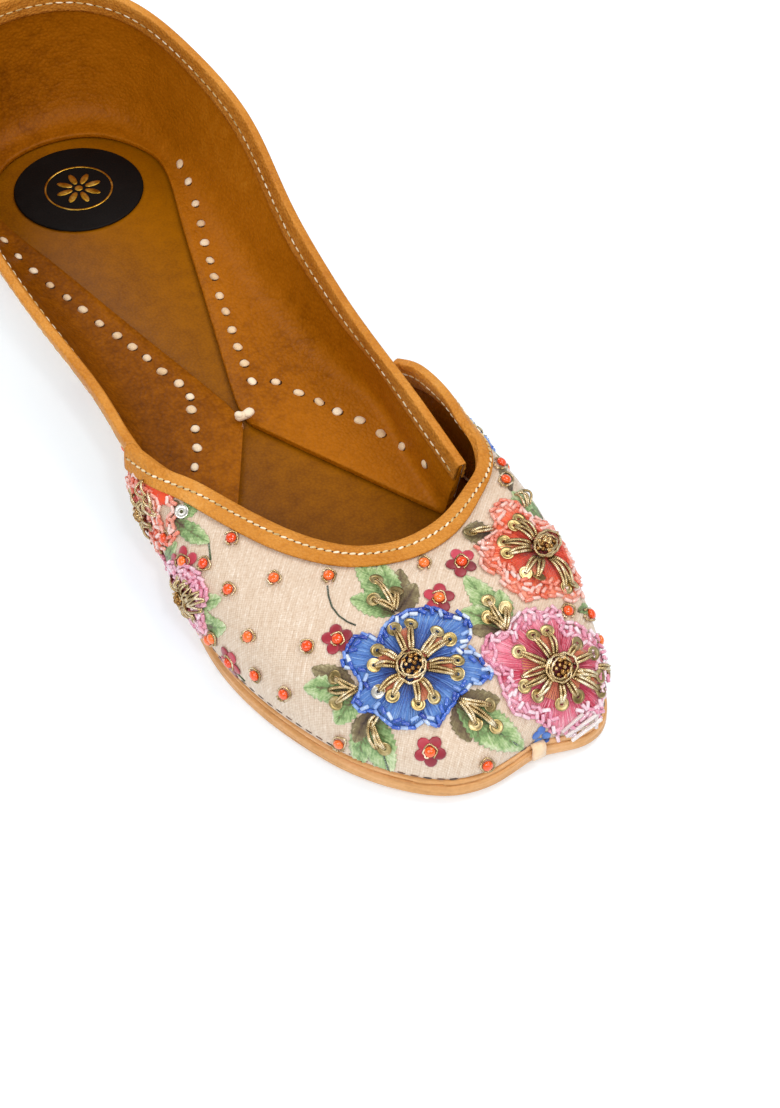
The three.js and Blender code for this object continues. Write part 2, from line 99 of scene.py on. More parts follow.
softbox("key_light", (0.6, -0.12, 1.18), 0.7, 7.8, (1, 0.985, 0.965))
softbox("front_light", (0.1, -0.95, 0.72), 0.7, 3.0, (1, 0.995, 0.99))
softbox("fill_light", (-0.9, -0.6, 0.9), 0.9, 8.6, (0.985, 0.99, 1))
softbox("back_light", (-0.2, 1.1, 0.8), 0.8, 5.5)
softbox("glint_light", (-0.12, -0.75, 1.0), 0.1, 1.6)

world = bpy.data.worlds.new("studio")
world.use_nodes = True
sky = world.node_tree.nodes["Background"].inputs
sky["Color"].default_value = (1, 1, 1, 1)
sky["Strength"].default_value = 0.36
bpy.context.scene.world = world

# ---------------------------------------------------------------- nodes of the materials


def tone(code):
    """A web colour as the linear colour that a shader reads."""
    parts = [int(code[i : i + 2], 16) / 255 for i in (1, 3, 5)]
    return (*[p / 12.92 if p <= 0.04045 else ((p + 0.055) / 1.055) ** 2.4 for p in parts], 1)


def feed(tree, made, inputs):
    """Sets a node's inputs, each one to a plain value or from another node's output."""
    for name, value in inputs.items():
        if isinstance(value, bpy.types.NodeSocket):
            tree.links.new(value, made.inputs[name])
        else:
            made.inputs[name].default_value = value
    return made


def add_node(tree, kind, inputs=None, **settings):
    made = tree.nodes.new("ShaderNode" + kind)
    for name, value in settings.items():
        setattr(made, name, value)
    return feed(tree, made, inputs or {})


def use_group(tree, group, inputs):
    return add_node(tree, "Group", inputs, node_tree=group).outputs


def sum_of(tree, a, b, operation="ADD"):
    return add_node(tree, "Math", {0: a, 1: b}, operation=operation).outputs[0]


def scaled(tree, value, by):
    return sum_of(tree, value, by, "MULTIPLY")


def swing(tree, value, by):
    """A value from 0 to 1 made a swing to both sides of 0."""
    return scaled(tree, sum_of(tree, value, 0.5, "SUBTRACT"), by)


def spread(tree, value, low, high, start=0.0, end=1.0):
    inputs = {"Value": value, "From Min": start, "From Max": end, "To Min": low, "To Max": high}
    return add_node(tree, "MapRange", inputs).outputs["Result"]


def noise(tree, where, scale, detail=2.0, rough=0.5, distortion=0.0):
    inputs = {"Vector": where, "Scale": scale, "Detail": detail, "Roughness": rough, "Distortion": distortion}
    return add_node(tree, "TexNoise", inputs).outputs["Fac"]


def waves(tree, where, scale, direction, shape):
    inputs = {"Vector": where, "Scale": scale, "Detail": 2.0, **shape}
    return add_node(tree, "TexWave", inputs, bands_direction=direction).outputs["Fac"]


def stretched(tree, where, scale):
    """Places drawn out by their own scale along each axis."""
    return add_node(tree, "Mapping", {"Vector": where, "Scale": scale}).outputs["Vector"]


def ramp(tree, factor, stops):
    """Colours along 0 to 1. stops are (place, web colour)."""
    made = add_node(tree, "ValToRGB", {"Fac": factor})
    elements = made.color_ramp.elements
    while len(elements) < len(stops):
        elements.new(0.5)
    for element, (place, code) in zip(elements, stops):
        element.position = place
        element.color = tone(code)
    return made.outputs["Color"]


def new_group(name, inputs, outputs):
    """A shader node group and its sockets. inputs are names with defaults; None stands for a vector."""
    group = bpy.data.node_groups.new(name, "ShaderNodeTree")
    for label, default in inputs.items():
        kind = "NodeSocketVector" if default is None else "NodeSocketFloat"
        socket = group.interface.new_socket(label, in_out="INPUT", socket_type=kind)
        if default is not None:
            socket.default_value = default
    for label in outputs:
        group.interface.new_socket(label, in_out="OUTPUT", socket_type="NodeSocketFloat")
    return group, group.nodes.new("NodeGroupInput").outputs, group.nodes.new("NodeGroupOutput")


def make_grain():
    """Leather: fine pores, shallow wrinkles between them with painted shade in their folds, and slow patches of
    tone.
    """
    inputs = {"Vector": None, "Pores": 900.0, "Patches": 40.0, "Creases": 0.0}
    group, given, result = new_group("leather_grain", inputs, ["Height", "Tone"])
    where = given["Vector"]
    bent = noise(group, where, 260.0, 3.0)
    cells = add_node(group, "TexVoronoi", {"Vector": where, "Scale": given["Pores"], "Randomness": 0.9})
    pores = cells.outputs["Distance"]
    folds = noise(group, where, 85.0, distortion=0.7)
    off_fold = sum_of(group, sum_of(group, folds, 0.5, "SUBTRACT"), 0.0, "ABSOLUTE")
    creased = sum_of(group, spread(group, off_fold, 1.0, 0.0, 0.0, 0.035), given["Creases"], "MULTIPLY")
    patches = noise(group, where, given["Patches"], 3.0)
    height = sum_of(group, scaled(group, pores, -1.0), scaled(group, bent, 0.9))
    dots = scaled(group, sum_of(group, 0.45, pores, "SUBTRACT"), 0.16)
    slow = sum_of(group, scaled(group, patches, 0.6), 0.2)
    shade = sum_of(group, slow, sum_of(group, swing(group, bent, 0.3), dots))
    # Painted shade: the tone is a little darker in the creases.
    shade = sum_of(group, shade, scaled(group, creased, 0.05), "SUBTRACT")
    feed(group, result, {"Height": sum_of(group, height, creased, "SUBTRACT"), "Tone": shade})
    return group


def make_weave():
    """Raw silk twill: diagonal ribs over fine cross threads, with thick places in some of the threads."""
    inputs = {"Vector": None, "Rib": 0.00075, "Turn": 0.6}
    group, given, result = new_group("silk_weave", inputs, ["Height", "Tone"])
    turn = add_node(group, "CombineXYZ", {"Z": given["Turn"]}).outputs["Vector"]
    where = add_node(group, "Mapping", {"Vector": given["Vector"], "Rotation": turn}).outputs["Vector"]
    per_rib = sum_of(group, 0.31416, given["Rib"], "DIVIDE")
    ribs = waves(group, where, per_rib, "X", {"Distortion": 1.3, "Detail Scale": 1.6})
    cross = waves(group, where, scaled(group, per_rib, 1.45), "Y", {"Distortion": 1.1})
    slubs = noise(group, stretched(group, where, (1500.0, 190.0, 1.0)), 1.0, 3.0)
    # Light and dark flecks in the tone: the silk's own speckle, with painted sheen in the light ones.
    speckle_and_sheen = noise(group, where, 1500.0, rough=0.7)
    woven = sum_of(group, scaled(group, ribs, 0.4), scaled(group, cross, 0.34))
    height = sum_of(group, woven, scaled(group, sum_of(group, slubs, speckle_and_sheen), 0.7))
    shade = sum_of(group, scaled(group, woven, 0.22), scaled(group, slubs, 0.4))
    feed(group, result, {"Height": height, "Tone": sum_of(group, shade, scaled(group, speckle_and_sheen, 0.5))})
    return group


def make_strand():
    """Stranded thread or coiled wire: turns across its length, at a pitch."""
    group, given, result = new_group("twisted_strand", {"Along": 0.0, "Pitch": 0.0006}, ["Height"])
    angle = scaled(group, sum_of(group, given["Along"], given["Pitch"], "DIVIDE"), math.tau)
    feed(group, result, {"Height": add_node(group, "Math", {0: angle}, operation="SINE").outputs[0]})
    return group


grain_group = make_grain()
weave_group = make_weave()
strand_group = make_strand()


def new_material(name, **surface):
    """A material with its Principled shader; surface gives the shader's plain values."""
    material = bpy.data.materials.new(name)
    material.use_nodes = True
    shader = material.node_tree.nodes["Principled BSDF"]
    for label, value in surface.items():
        shader.inputs[label.replace("_", " ")].default_value = value
    return material, material.node_tree, shader


def bump(tree, shader, height, depth, strength=1.0):
    made = add_node(tree, "Bump", {"Height": height, "Distance": depth, "Strength": strength})
    feed(tree, shader, {"Normal": made.outputs["Normal"]})


def place_on(tree, kind="Object"):
    return add_node(tree, "TexCoord").outputs[kind]


def reading(tree, name):
    """A value kept on the mesh's own points."""
    return add_node(tree, "Attribute", attribute_name=name).outputs["Fac"]


def twist(tree, pitch):
    return use_group(tree, strand_group, {"Along": reading(tree, "along"), "Pitch": pitch})["Height"]


def leather(name, stops, pores=900.0, patches=40.0, depth=0.00006, rough=(0.36, 0.56), gloss=0.3, **darker):
    """Grained leather with creases, and painted shade that darkens it sideways to the lateral side and forwards to
    the toe.
    """
    material, tree, shader = new_material(name, Specular_IOR_Level=gloss)
    where = place_on(tree)
    creases = darker.get("creases", 0.0)
    grain = use_group(tree, grain_group, {"Vector": where, "Pores": pores, "Patches": patches, "Creases": creases})
    shade = grain["Tone"]
    place = add_node(tree, "SeparateXYZ", {"Vector": where}).outputs
    # Painted shade: darker towards the lateral side, where the wall shades the flaps, and towards the toe, under
    # the vamp.
    if "sideways" in darker:
        by = darker["sideways"]
        shade = sum_of(tree, shade, spread(tree, place["X"], -by, by * 0.55, -0.036, 0.03))
    if "forwards" in darker:
        shade = sum_of(tree, shade, spread(tree, place["Y"], -darker["forwards"], 0.0, -0.06, 0.02))
    feed(tree, shader, {"Base Color": ramp(tree, shade, stops), "Roughness": spread(tree, grain["Tone"], *rough)})
    bump(tree, shader, grain["Height"], depth)
    return material


def silk():
    material, tree, shader = new_material("cream_silk", Sheen_Weight=0.25, Sheen_Roughness=0.4)
    weave = use_group(tree, weave_group, {"Vector": place_on(tree, "UV"), "Rib": 0.00056, "Turn": 0.75})
    stops = [(0.3, "#bb9d82"), (0.46, "#cdb49b"), (0.6, "#d9c4ae"), (0.76, "#efe2d4")]
    colour = ramp(tree, weave["Tone"], stops)
    feed(tree, shader, {"Base Color": colour, "Roughness": spread(tree, weave["Tone"], 0.62, 0.4)})
    bump(tree, shader, weave["Height"], 0.00013, 0.7)
    return material


def sole_side():
    """Cut leather edge: tan, drawn out in thin level streaks."""
    material, tree, shader = new_material("sole_leather_edge", Roughness=0.55)
    where = place_on(tree)
    grain = use_group(tree, grain_group, {"Vector": where, "Pores": 1100.0, "Patches": 60.0})
    streaks = noise(tree, stretched(tree, where, (60.0, 60.0, 1600.0)), 1.0, 3.0)
    shade = sum_of(tree, scaled(tree, grain["Tone"], 0.5), scaled(tree, streaks, 0.5))
    stops = [(0.25, "#a9703c"), (0.45, "#cf9658"), (0.6, "#dea873"), (0.8, "#ebc094")]
    feed(tree, shader, {"Base Color": ramp(tree, shade, stops)})
    bump(tree, shader, sum_of(tree, grain["Height"], streaks), 0.00012)
    return material


def thread(name, stops, pitch=0.0007, rough=0.55):
    """Stranded thread. Its tone runs with the value "shade" kept on its points."""
    material, tree, shader = new_material(name, Roughness=rough, Sheen_Weight=0.4)
    shade = sum_of(tree, reading(tree, "shade"), swing(tree, noise(tree, place_on(tree), 900.0), 0.35))
    feed(tree, shader, {"Base Color": ramp(tree, shade, stops)})
    bump(tree, shader, twist(tree, pitch), 0.00007, 0.7)
    return material


def metal(name, stops, rough=0.3, pitch=None, depth=0.00008):
    """Metal thread, sequin or bead, a little tarnished in patches."""
    material, tree, shader = new_material(name, Metallic=1.0)
    patches = noise(tree, place_on(tree), 420.0, 3.0)
    dull = spread(tree, patches, rough * 0.75, rough * 1.35)
    feed(tree, shader, {"Base Color": ramp(tree, patches, stops), "Roughness": dull})
    if pitch:
        bump(tree, shader, twist(tree, pitch), depth)
    else:
        bump(tree, shader, patches, 0.00006, 0.6)
    return material


def glass_bead(name, stops, rough=0.12, clear=0.2):
    """A glass bead: each one has its own depth of colour, kept on its points, which in the blue beads is partly
    painted highlight.
    """
    glass = {"Transmission_Weight": clear, "IOR": 1.5, "Coat_Weight": 0.6, "Coat_Roughness": 0.05}
    material, tree, shader = new_material(name, **glass)
    dull = spread(tree, noise(tree, place_on(tree), 700.0), rough * 0.5, rough * 1.8)
    feed(tree, shader, {"Base Color": ramp(tree, reading(tree, "shade"), stops), "Roughness": dull})
    return material


def satin_fill(name, stops):
    """Threads laid side by side over a petal or leaf; "shade" runs from its root to its tip."""
    material, tree, shader = new_material(name, Roughness=0.42, Sheen_Weight=0.3)
    across = add_node(tree, "SeparateXYZ", {"Vector": place_on(tree, "UV")}).outputs
    combed = {"X": scaled(tree, across["X"], 5200.0), "Y": scaled(tree, across["Y"], 160.0)}
    lines = noise(tree, add_node(tree, "CombineXYZ", combed).outputs["Vector"], 1.0, 3.0, 0.7)
    clouds = noise(tree, place_on(tree), 330.0)
    drift = sum_of(tree, swing(tree, lines, 0.9), swing(tree, clouds, 0.5))
    feed(tree, shader, {"Base Color": ramp(tree, sum_of(tree, reading(tree, "shade"), drift), stops)})
    bump(tree, shader, lines, 0.0003, 0.9)
    return material


def printed_leaf(name, stops):
    """Green dye on the woven cloth: washy, with pale threads showing through, brown at the leaf's root."""
    material, tree, shader = new_material(name, Roughness=0.6, Sheen_Weight=0.2)
    where = place_on(tree)
    weave = use_group(tree, weave_group, {"Vector": where, "Rib": 0.0009, "Turn": 0.9})
    drift = swing(tree, noise(tree, where, 420.0, 4.0, 0.65), 1.1)
    rays = swing(tree, noise(tree, place_on(tree, "UV"), 900.0), 0.7)
    knit = swing(tree, weave["Tone"], 0.7)
    shade = sum_of(tree, sum_of(tree, reading(tree, "shade"), drift), sum_of(tree, rays, knit))
    feed(tree, shader, {"Base Color": ramp(tree, shade, stops)})
    bump(tree, shader, weave["Height"], 0.00018, 0.8)
    return material


cream_silk = silk()
sole_edge = sole_side()
tans = [(0.2, "#9a5612"), (0.4, "#bd7622"), (0.58, "#cf8a36"), (0.82, "#dda45a")]
browns = [(0.12, "#4f2500"), (0.34, "#7e4400"), (0.52, "#9c5902"), (0.7, "#ac6408"), (0.92, "#c27a1c")]
polished_browns = [(0.1, "#552c02"), (0.3, "#744206"), (0.5, "#8d5402"), (0.64, "#985b00"), (0.85, "#a86c10")]
blacks = [(0.2, "#060505"), (0.5, "#0d0a09"), (0.8, "#1a1513")]
binding_leather = leather("binding_leather", tans, 1250.0, 40.0, 0.0003, (0.44, 0.62), 0.2)
# The lining and the insole carry painted shade: darker towards the lateral side, and the insole also towards the
# toe.
lining_leather = leather(
    "lining_leather", browns, 1100.0, 14.0, 0.00016, (0.42, 0.58), 0.1, sideways=0.2, creases=0.3
)
insole_leather = leather(
    "insole_leather", polished_browns, 1500.0, 9.0, 0.00003, (0.3, 0.46), 0.12, sideways=0.12, forwards=0.28
)
label_cloth = leather("label_cloth", blacks, 1600.0, 40.0, 0.00005, (0.55, 0.7), 0.12)
# Painted shade: dark leather for small shapes set where needles went through the leather.
hole_shade_leather = leather("hole_shade_leather", [(0.2, "#2e1705"), (0.5, "#43230a"), (0.8, "#5a3210")], depth=0.00004)
cream_thread = thread("cream_thread", [(0.1, "#a57c50"), (0.5, "#dbba8e"), (0.9, "#f0dcbd")])
seam_thread = thread("seam_thread", [(0.1, "#8a6a2e"), (0.45, "#cdb174"), (0.9, "#f6ebcd")], rough=0.4)
tan_thread = thread("tan_thread", [(0.1, "#a9703c"), (0.5, "#d9a873"), (0.9, "#efd0aa")])

# ---------------------------------------------------------------- the floor

floor_mesh = bpy.data.meshes.new("floor")
floor_work = bmesh.new()
bmesh.ops.create_grid(floor_work, x_segments=1, y_segments=1, size=6)
floor_work.to_mesh(floor_mesh)
floor_work.free()
floor_look = {"Base_Color": (0.75, 0.83, 0.895, 1), "Specular_IOR_Level": 0.1}
glow = {"Emission_Color": (1, 1, 1, 1), "Emission_Strength": 0.245}
floor_material = new_material("studio_floor", Roughness=0.9, **floor_look, **glow)[0]
floor_mesh.materials.append(floor_material)
floor = bpy.data.objects.new("floor", floor_mesh)
bpy.context.scene.collection.objects.link(floor)

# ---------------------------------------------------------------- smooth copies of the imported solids


def place_piece(name, mesh, material=None):
    """Shows a finished mesh as a piece that rides with the shoe."""
    if material:
        mesh.materials.append(material)
    piece = bpy.data.objects.new(name, mesh)
    bpy.context.scene.collection.objects.link(piece)
    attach(piece, "root")
    return piece


def thicken(piece, depth):
    wall = piece.modifiers.new("thickness", "SOLIDIFY")
    wall.thickness = depth
    wall.offset = -1


def mesh_as_seen(holder):
    """The mesh that an object shows, with its modifiers or its curve's thickness worked in."""
    bpy.context.scene.collection.objects.link(holder)
    bpy.context.view_layer.update()
    mesh = bpy.data.meshes.new_from_object(holder.evaluated_get(bpy.context.evaluated_depsgraph_get()))
    bpy.data.objects.remove(holder)
    return mesh


def smooth_copy(node, levels=2, sharp=50, hold=0.75):
    """A finer mesh over a node: its triangles joined to quads, its hard edges held, then subdivided."""
    work = bmesh.new()
    work.from_mesh(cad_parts[node].data)
    bmesh.ops.remove_doubles(work, verts=work.verts, dist=0.01 * mm)
    flat, square = math.radians(35), math.radians(60)
    bmesh.ops.join_triangles(work, faces=work.faces, angle_face_threshold=flat, angle_shape_threshold=square)
    held = work.edges.layers.float.new("crease_edge")
    for edge in work.edges:
        if len(edge.link_faces) == 2 and edge.calc_face_angle() > math.radians(sharp):
            edge[held] = hold
    coarse = bpy.data.meshes.new(node)
    work.to_mesh(coarse)
    work.free()
    kept_normals = coarse.attributes.get("custom_normal")
    if kept_normals:
        coarse.attributes.remove(kept_normals)
    holder = bpy.data.objects.new(node + "_holder", coarse)
    finer = holder.modifiers.new("finer", "SUBSURF")
    finer.levels = levels
    finer.render_levels = levels
    mesh = mesh_as_seen(holder)
    bpy.data.meshes.remove(coarse)
    mesh.name = node
    mesh.materials.clear()
    mesh.shade_smooth()
    return mesh


def soften(mesh, ridges):
    """Moves a mesh's points along their normals by soft ridges. A ridge is (start, end, width, height) in mm."""
    normals = [v.normal.copy() for v in mesh.vertices]
    for vertex, normal in zip(mesh.vertices, normals):
        shift = 0.0
        for start, end, width, height in ridges:
            run = Vector(end) - Vector(start)
            away = vertex.co / mm - Vector(start)
            share = min(max(away.dot(run) / run.length_squared, 0), 1)
            far = (away - run * share).length / width
            if far < 1:
                ends = math.sin(math.pi * min(max(share, 0.08), 0.92))
                shift += height * ends * (1 - far * far) ** 2
        if shift:
            vertex.co += normal * shift * mm


def dome_map(mesh, crown):
    """Lays the cloth's own map over a dome: distance and direction from its crown, in metres."""
    layer = mesh.uv_layers.new(name="cloth")
    for loop in mesh.loops:
        away = mesh.vertices[loop.vertex_index].co - crown
        flat = away.xy
        layer.data[loop.index].uv = flat.normalized() * away.length if flat.length > 1e-6 else flat


def wrap_map(mesh, heel_y, half_width):
    """The silk of the back: its way round the heel from the middle, and its height."""
    layer = mesh.uv_layers.new(name="cloth")
    for loop in mesh.loops:
        spot = mesh.vertices[loop.vertex_index].co
        turn = math.atan2(spot.x, max(spot.y - heel_y, 0))
        ahead = math.copysign(max(heel_y - spot.y, 0), spot.x)
        layer.data[loop.index].uv = (half_width * turn + ahead, spot.z)


# The vamp: silk outside, leather inside. Soft hollows between the embroidered flowers, where the cloth is drawn.
vamp_ridges = [
    ((-38, -32, 20), (-14, -84, 22), 9, -0.5),
    ((-44, -50, 10), (-30, -86, 9), 7, 0.45),
    ((2, -84, 24), (-8, -112, 12), 7, 0.4),
    ((24, -80, 24), (16, -120, 8), 7, -0.4),
    ((38, -60, 22), (42, -90, 9), 8, 0.4),
]
vamp_mesh = smooth_copy("vamp")
soften(vamp_mesh, vamp_ridges)
dome_map(vamp_mesh, Vector((4, -84, 27)) * mm)
vamp_mesh.materials.append(cream_silk)
vamp_mesh.materials.append(lining_leather)
for face in vamp_mesh.polygons:
    spot = face.center / mm
    inner_axis = Vector((6 + 0.06 * (spot.y + 60), min(max(spot.y, -96), -20), 9))
    facing_out = face.normal.dot((spot - inner_axis).normalized()) > 0
    face.material_index = 0 if facing_out else 1
vamp = place_piece("vamp_upper", vamp_mesh)
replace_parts(vamp, "vamp")

quarter_ridges = [
    ((-20, -6, 8), (-33, 2, 16), 8, -0.7),
    ((12, -14, 8), (31, -18, 18), 7, -0.6),
    ((16, -4, 8), (30, 6, 20), 6, 0.5),
    ((20, 20, 8), (33, 30, 22), 9, -0.6),
    ((-22, 30, 8), (-36, 40, 22), 9, 0.5),
    ((-24, 56, 8), (-36, 66, 26), 9, -0.5),
]
quarter_mesh = smooth_copy("quarter")
soften(quarter_mesh, quarter_ridges)
wrap_map(quarter_mesh, 96 * mm, 34 * mm)
quarter_mesh.materials.append(lining_leather)
quarter_mesh.materials.append(cream_silk)
for face in quarter_mesh.polygons:
    spot = face.center / mm
    heel_axis = Vector((0, min(max(spot.y, -60), 92), spot.z))
    off_axis = spot - heel_axis
    facing_out = spot.z > 3 and face.normal.dot(off_axis.normalized()) > 0.2 if off_axis.length > 1 else False
    face.material_index = 1 if facing_out else 0
quarter = place_piece("quarter_upper", quarter_mesh)
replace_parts(quarter, "quarter")

for node, piece_name, material, slot_name in [
    ("vamp_binding", "vamp_binding_strip", binding_leather, "binding_leather"),
    ("quarter_binding", "quarter_binding_strip", binding_leather, "binding_leather"),
    ("insole", "insole_sheet", insole_leather, "insole_leather"),
    ("midsole", "sole_top_layer", sole_edge, "sole_leather"),
    ("outsole", "sole_bottom_layer", sole_edge, "sole_leather"),
    ("heel_label", "heel_label_disc", label_cloth, "label_cloth"),
    ("centre_tie", "centre_tie_loops", cream_thread, "thread"),
    ("toe_tack", "toe_tack_strap", tan_thread, "thread"),
]:
    mesh = smooth_copy(node, levels=2 if "binding" in node else 1, sharp=35 if "binding" in node else 30, hold=0.6)
    mesh.materials.append(material)
    mesh.attributes.new("shade", "FLOAT", "POINT").data.foreach_set("value", [0.8] * len(mesh.vertices))
    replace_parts(place_piece(piece_name, mesh), node)

# ---------------------------------------------------------------- places on the shoe

bpy.context.view_layer.update()
as_shown = bpy.context.evaluated_depsgraph_get()
vamp_tree, quarter_tree, vamp_binding_tree, quarter_binding_tree = [
    BVHTree.FromObject(bpy.data.objects[name], as_shown)
    for name in ("vamp_upper", "quarter_upper", "vamp_binding_strip", "quarter_binding_strip")
]


def standpoint(target, back, right=None, cloth=None):
    """A place to set the embroidery out from, with a picture 780 px wide and 1108 px high."""
    back = back.normalized()
    right = (right or Vector((0, 0, 1)).cross(back)).normalized()
    place = target * mm + back * camera_distance
    return {"place": place, "back": back, "right": right, "up": back.cross(right), "cloth": cloth or vamp_tree}


# The camera's own, and five straight out from the sides and the heel for what the camera can't see.
camera_view = standpoint(camera_target / mm, camera_back, camera_right)
medial_view = standpoint(Vector((40, -56, 15)), Vector((0.94, -0.1, 0.34)))
lateral_view = standpoint(Vector((-38, -56, 15)), Vector((-0.94, -0.1, 0.34)))
heel_views = [
    standpoint(Vector((38, 30, 20)), Vector((0.97, 0.1, 0.2)), cloth=quarter_tree),
    standpoint(Vector((-36, 30, 20)), Vector((-0.97, 0.1, 0.2)), cloth=quarter_tree),
    standpoint(Vector((0, 128, 22)), Vector((0, 0.97, 0.2)), cloth=quarter_tree),
]
nearest_mm, farthest_mm = 550, 671  # the shoe lies between these distances from every standpoint
looking = dict(camera_view, anchor=Vector((0, -80, 28)) * mm, plane=Vector((0, 0, 1)), span=8 * mm)


def look_from(x_px, y_px):
    """The line of sight through a pixel, and what it meets first."""
    line = sight_line(x_px, y_px, looking["right"], looking["up"], looking["back"])
    return line, *looking["cloth"].ray_cast(looking["place"], line)


def hold_at(x_px, y_px, span=8):
    """Lays what follows out from the cloth behind this pixel, so that it wraps round where the cloth turns away."""
    line, hit, normal, face, far = look_from(x_px, y_px)
    if hit is None:
        along = [looking["place"] + line * reach * mm for reach in range(nearest_mm, farthest_mm, 3)]
        hit, normal, face, far = min(map(looking["cloth"].find_nearest, along), key=lambda found: found[3])
    looking.update({"anchor": hit, "plane": (normal - line * 0.4).normalized(), "span": span * mm})


def on_cloth(x_px, y_px, lift=0.0):
    """The cloth behind a pixel: a point raised off it by lift, in mm, and the way the cloth faces there."""
    line, hit, normal, face, far = look_from(x_px, y_px)
    sure = 0.0 if hit is None else min(max((-normal.dot(line) - 0.1) / 0.25, 0), 1)
    if sure < 1:
        anchor, plane = looking["anchor"], looking["plane"]
        reach = (anchor - looking["place"]).dot(plane) / line.dot(plane)
        away = looking["place"] + line * reach - anchor
        if away.length > looking["span"]:
            away = away.normalized() * looking["span"]
        near, normal, face, far = looking["cloth"].find_nearest(anchor + away)
        hit = near if sure == 0 else near.lerp(hit, sure)
        hit, normal, face, far = looking["cloth"].find_nearest(hit + normal * 0.5 * mm)
    return hit + normal * lift * mm, normal


def polar_px(centre_px, degrees, radius_px):
    """A pixel at an angle and distance from a centre; angles run anticlockwise from the picture's right."""
    angle = math.radians(degrees)
    return centre_px[0] + radius_px * math.cos(angle), centre_px[1] - radius_px * math.sin(angle)


def standing(place, along, facing):
    """The matrix that puts a small shape at a place, its length along one way and its top facing another."""
    top = facing.normalized()
    length = (along - top * along.dot(top)).normalized()
    side = top.cross(length)
    return Matrix.Translation(place) @ Matrix((length, side, top)).transposed().to_4x4()


def between_px(start, end, share):
    return start[0] + (end[0] - start[0]) * share, start[1] + (end[1] - start[1]) * share


def heading_px(start, end):
    """The angle at which the picture shows the way from one pixel to another, in degrees."""
    return math.degrees(math.atan2(start[1] - end[1], end[0] - start[0]))


def sewn(spot, degrees, lift, lean=Vector((0, 0, 0)), size=1.0):
    """Puts a small shape at a pixel, turned to an angle of the picture, lift mm off the cloth and leaning."""
    here, facing = on_cloth(*spot)
    there = on_cloth(*polar_px(spot, degrees, 4))[0]
    return standing(here + facing * lift * mm, there - here, facing + lean) @ Matrix.Scale(size, 4)


# ---------------------------------------------------------------- shapes used many times


def finished(work, name):
    mesh = bpy.data.meshes.new(name)
    work.to_mesh(mesh)
    work.free()
    mesh.shade_smooth()
    return mesh


def bead_shape(name, length, width, sides=8):
    """A cut glass tube bead lying along X."""
    work = bmesh.new()
    half = width / 2
    bmesh.ops.create_cone(work, cap_ends=True, segments=sides, radius1=half, radius2=half, depth=length)
    ends = [e for e in work.edges if abs(e.verts[0].co.z - e.verts[1].co.z) < 1e-9]
    bmesh.ops.bevel(work, geom=ends, offset=width * 0.14, affect="EDGES", segments=1, profile=0.5, material=-1)
    bmesh.ops.rotate(work, verts=work.verts, matrix=Matrix.Rotation(math.pi / 2, 3, "Y"))
    return finished(work, name)


def stitch_shape(name, length, width, height):
    """One stitch: a thick thread that goes into the leather at both ends."""
    work = bmesh.new()
    bmesh.ops.create_uvsphere(work, u_segments=8, v_segments=7, radius=0.5)
    bmesh.ops.rotate(work, verts=work.verts, matrix=Matrix.Rotation(math.pi / 2, 3, "Y"))
    for vertex in work.verts:
        share = vertex.co.x * 2
        vertex.co.x = length * 0.5 * math.copysign(abs(share) ** 0.8, share)
        vertex.co.y *= width
        vertex.co.z *= height
    return finished(work, name)


def spun_shape(name, profile, steps, thickness=0.0):
    """A profile of (radius, height) spun about Z, closed into a wall where it has a thickness."""
    work = bmesh.new()
    points = [work.verts.new((radius, 0, height)) for radius, height in profile]
    edges = [work.edges.new(pair) for pair in zip(points, points[1:])]
    turn = {"axis": (0, 0, 1), "cent": (0, 0, 0), "angle": math.tau, "steps": steps, "use_merge": True}
    bmesh.ops.spin(work, geom=points + edges, **turn)
    bmesh.ops.remove_doubles(work, verts=work.verts, dist=1e-7)
    bmesh.ops.recalc_face_normals(work, faces=work.faces)
    if thickness:
        bmesh.ops.solidify(work, geom=work.faces[:], thickness=thickness)
    return finished(work, name)


def round_shape(name, width, depth, height, level=2):
    """A rounded bead or stone, flattened to its height."""
    work = bmesh.new()
    bmesh.ops.create_icosphere(work, subdivisions=level, radius=0.5)
    bmesh.ops.scale(work, vec=(width, depth, height), verts=work.verts)
    return finished(work, name)


def set_out(name, shape, places, material):
    """One piece made of a shape set at many places. A place is (matrix, shade)."""
    whole = bmesh.new()
    for matrix, shade in places:
        one = shape.copy()
        one.transform(matrix)
        one.attributes.new("shade", "FLOAT", "POINT").data.foreach_set("value", [shade] * len(one.vertices))
        whole.from_mesh(one)
        bpy.data.meshes.remove(one)
    return place_piece(name, finished(whole, name), material)


def apart(run):
    """A run without the points that lie on the one before them."""
    too_close = 0.03 * mm
    kept = [run[0]]
    for spot in run[1:]:
        if (spot[0] - kept[-1][0]).length > too_close:
            kept.append(spot)
    return kept


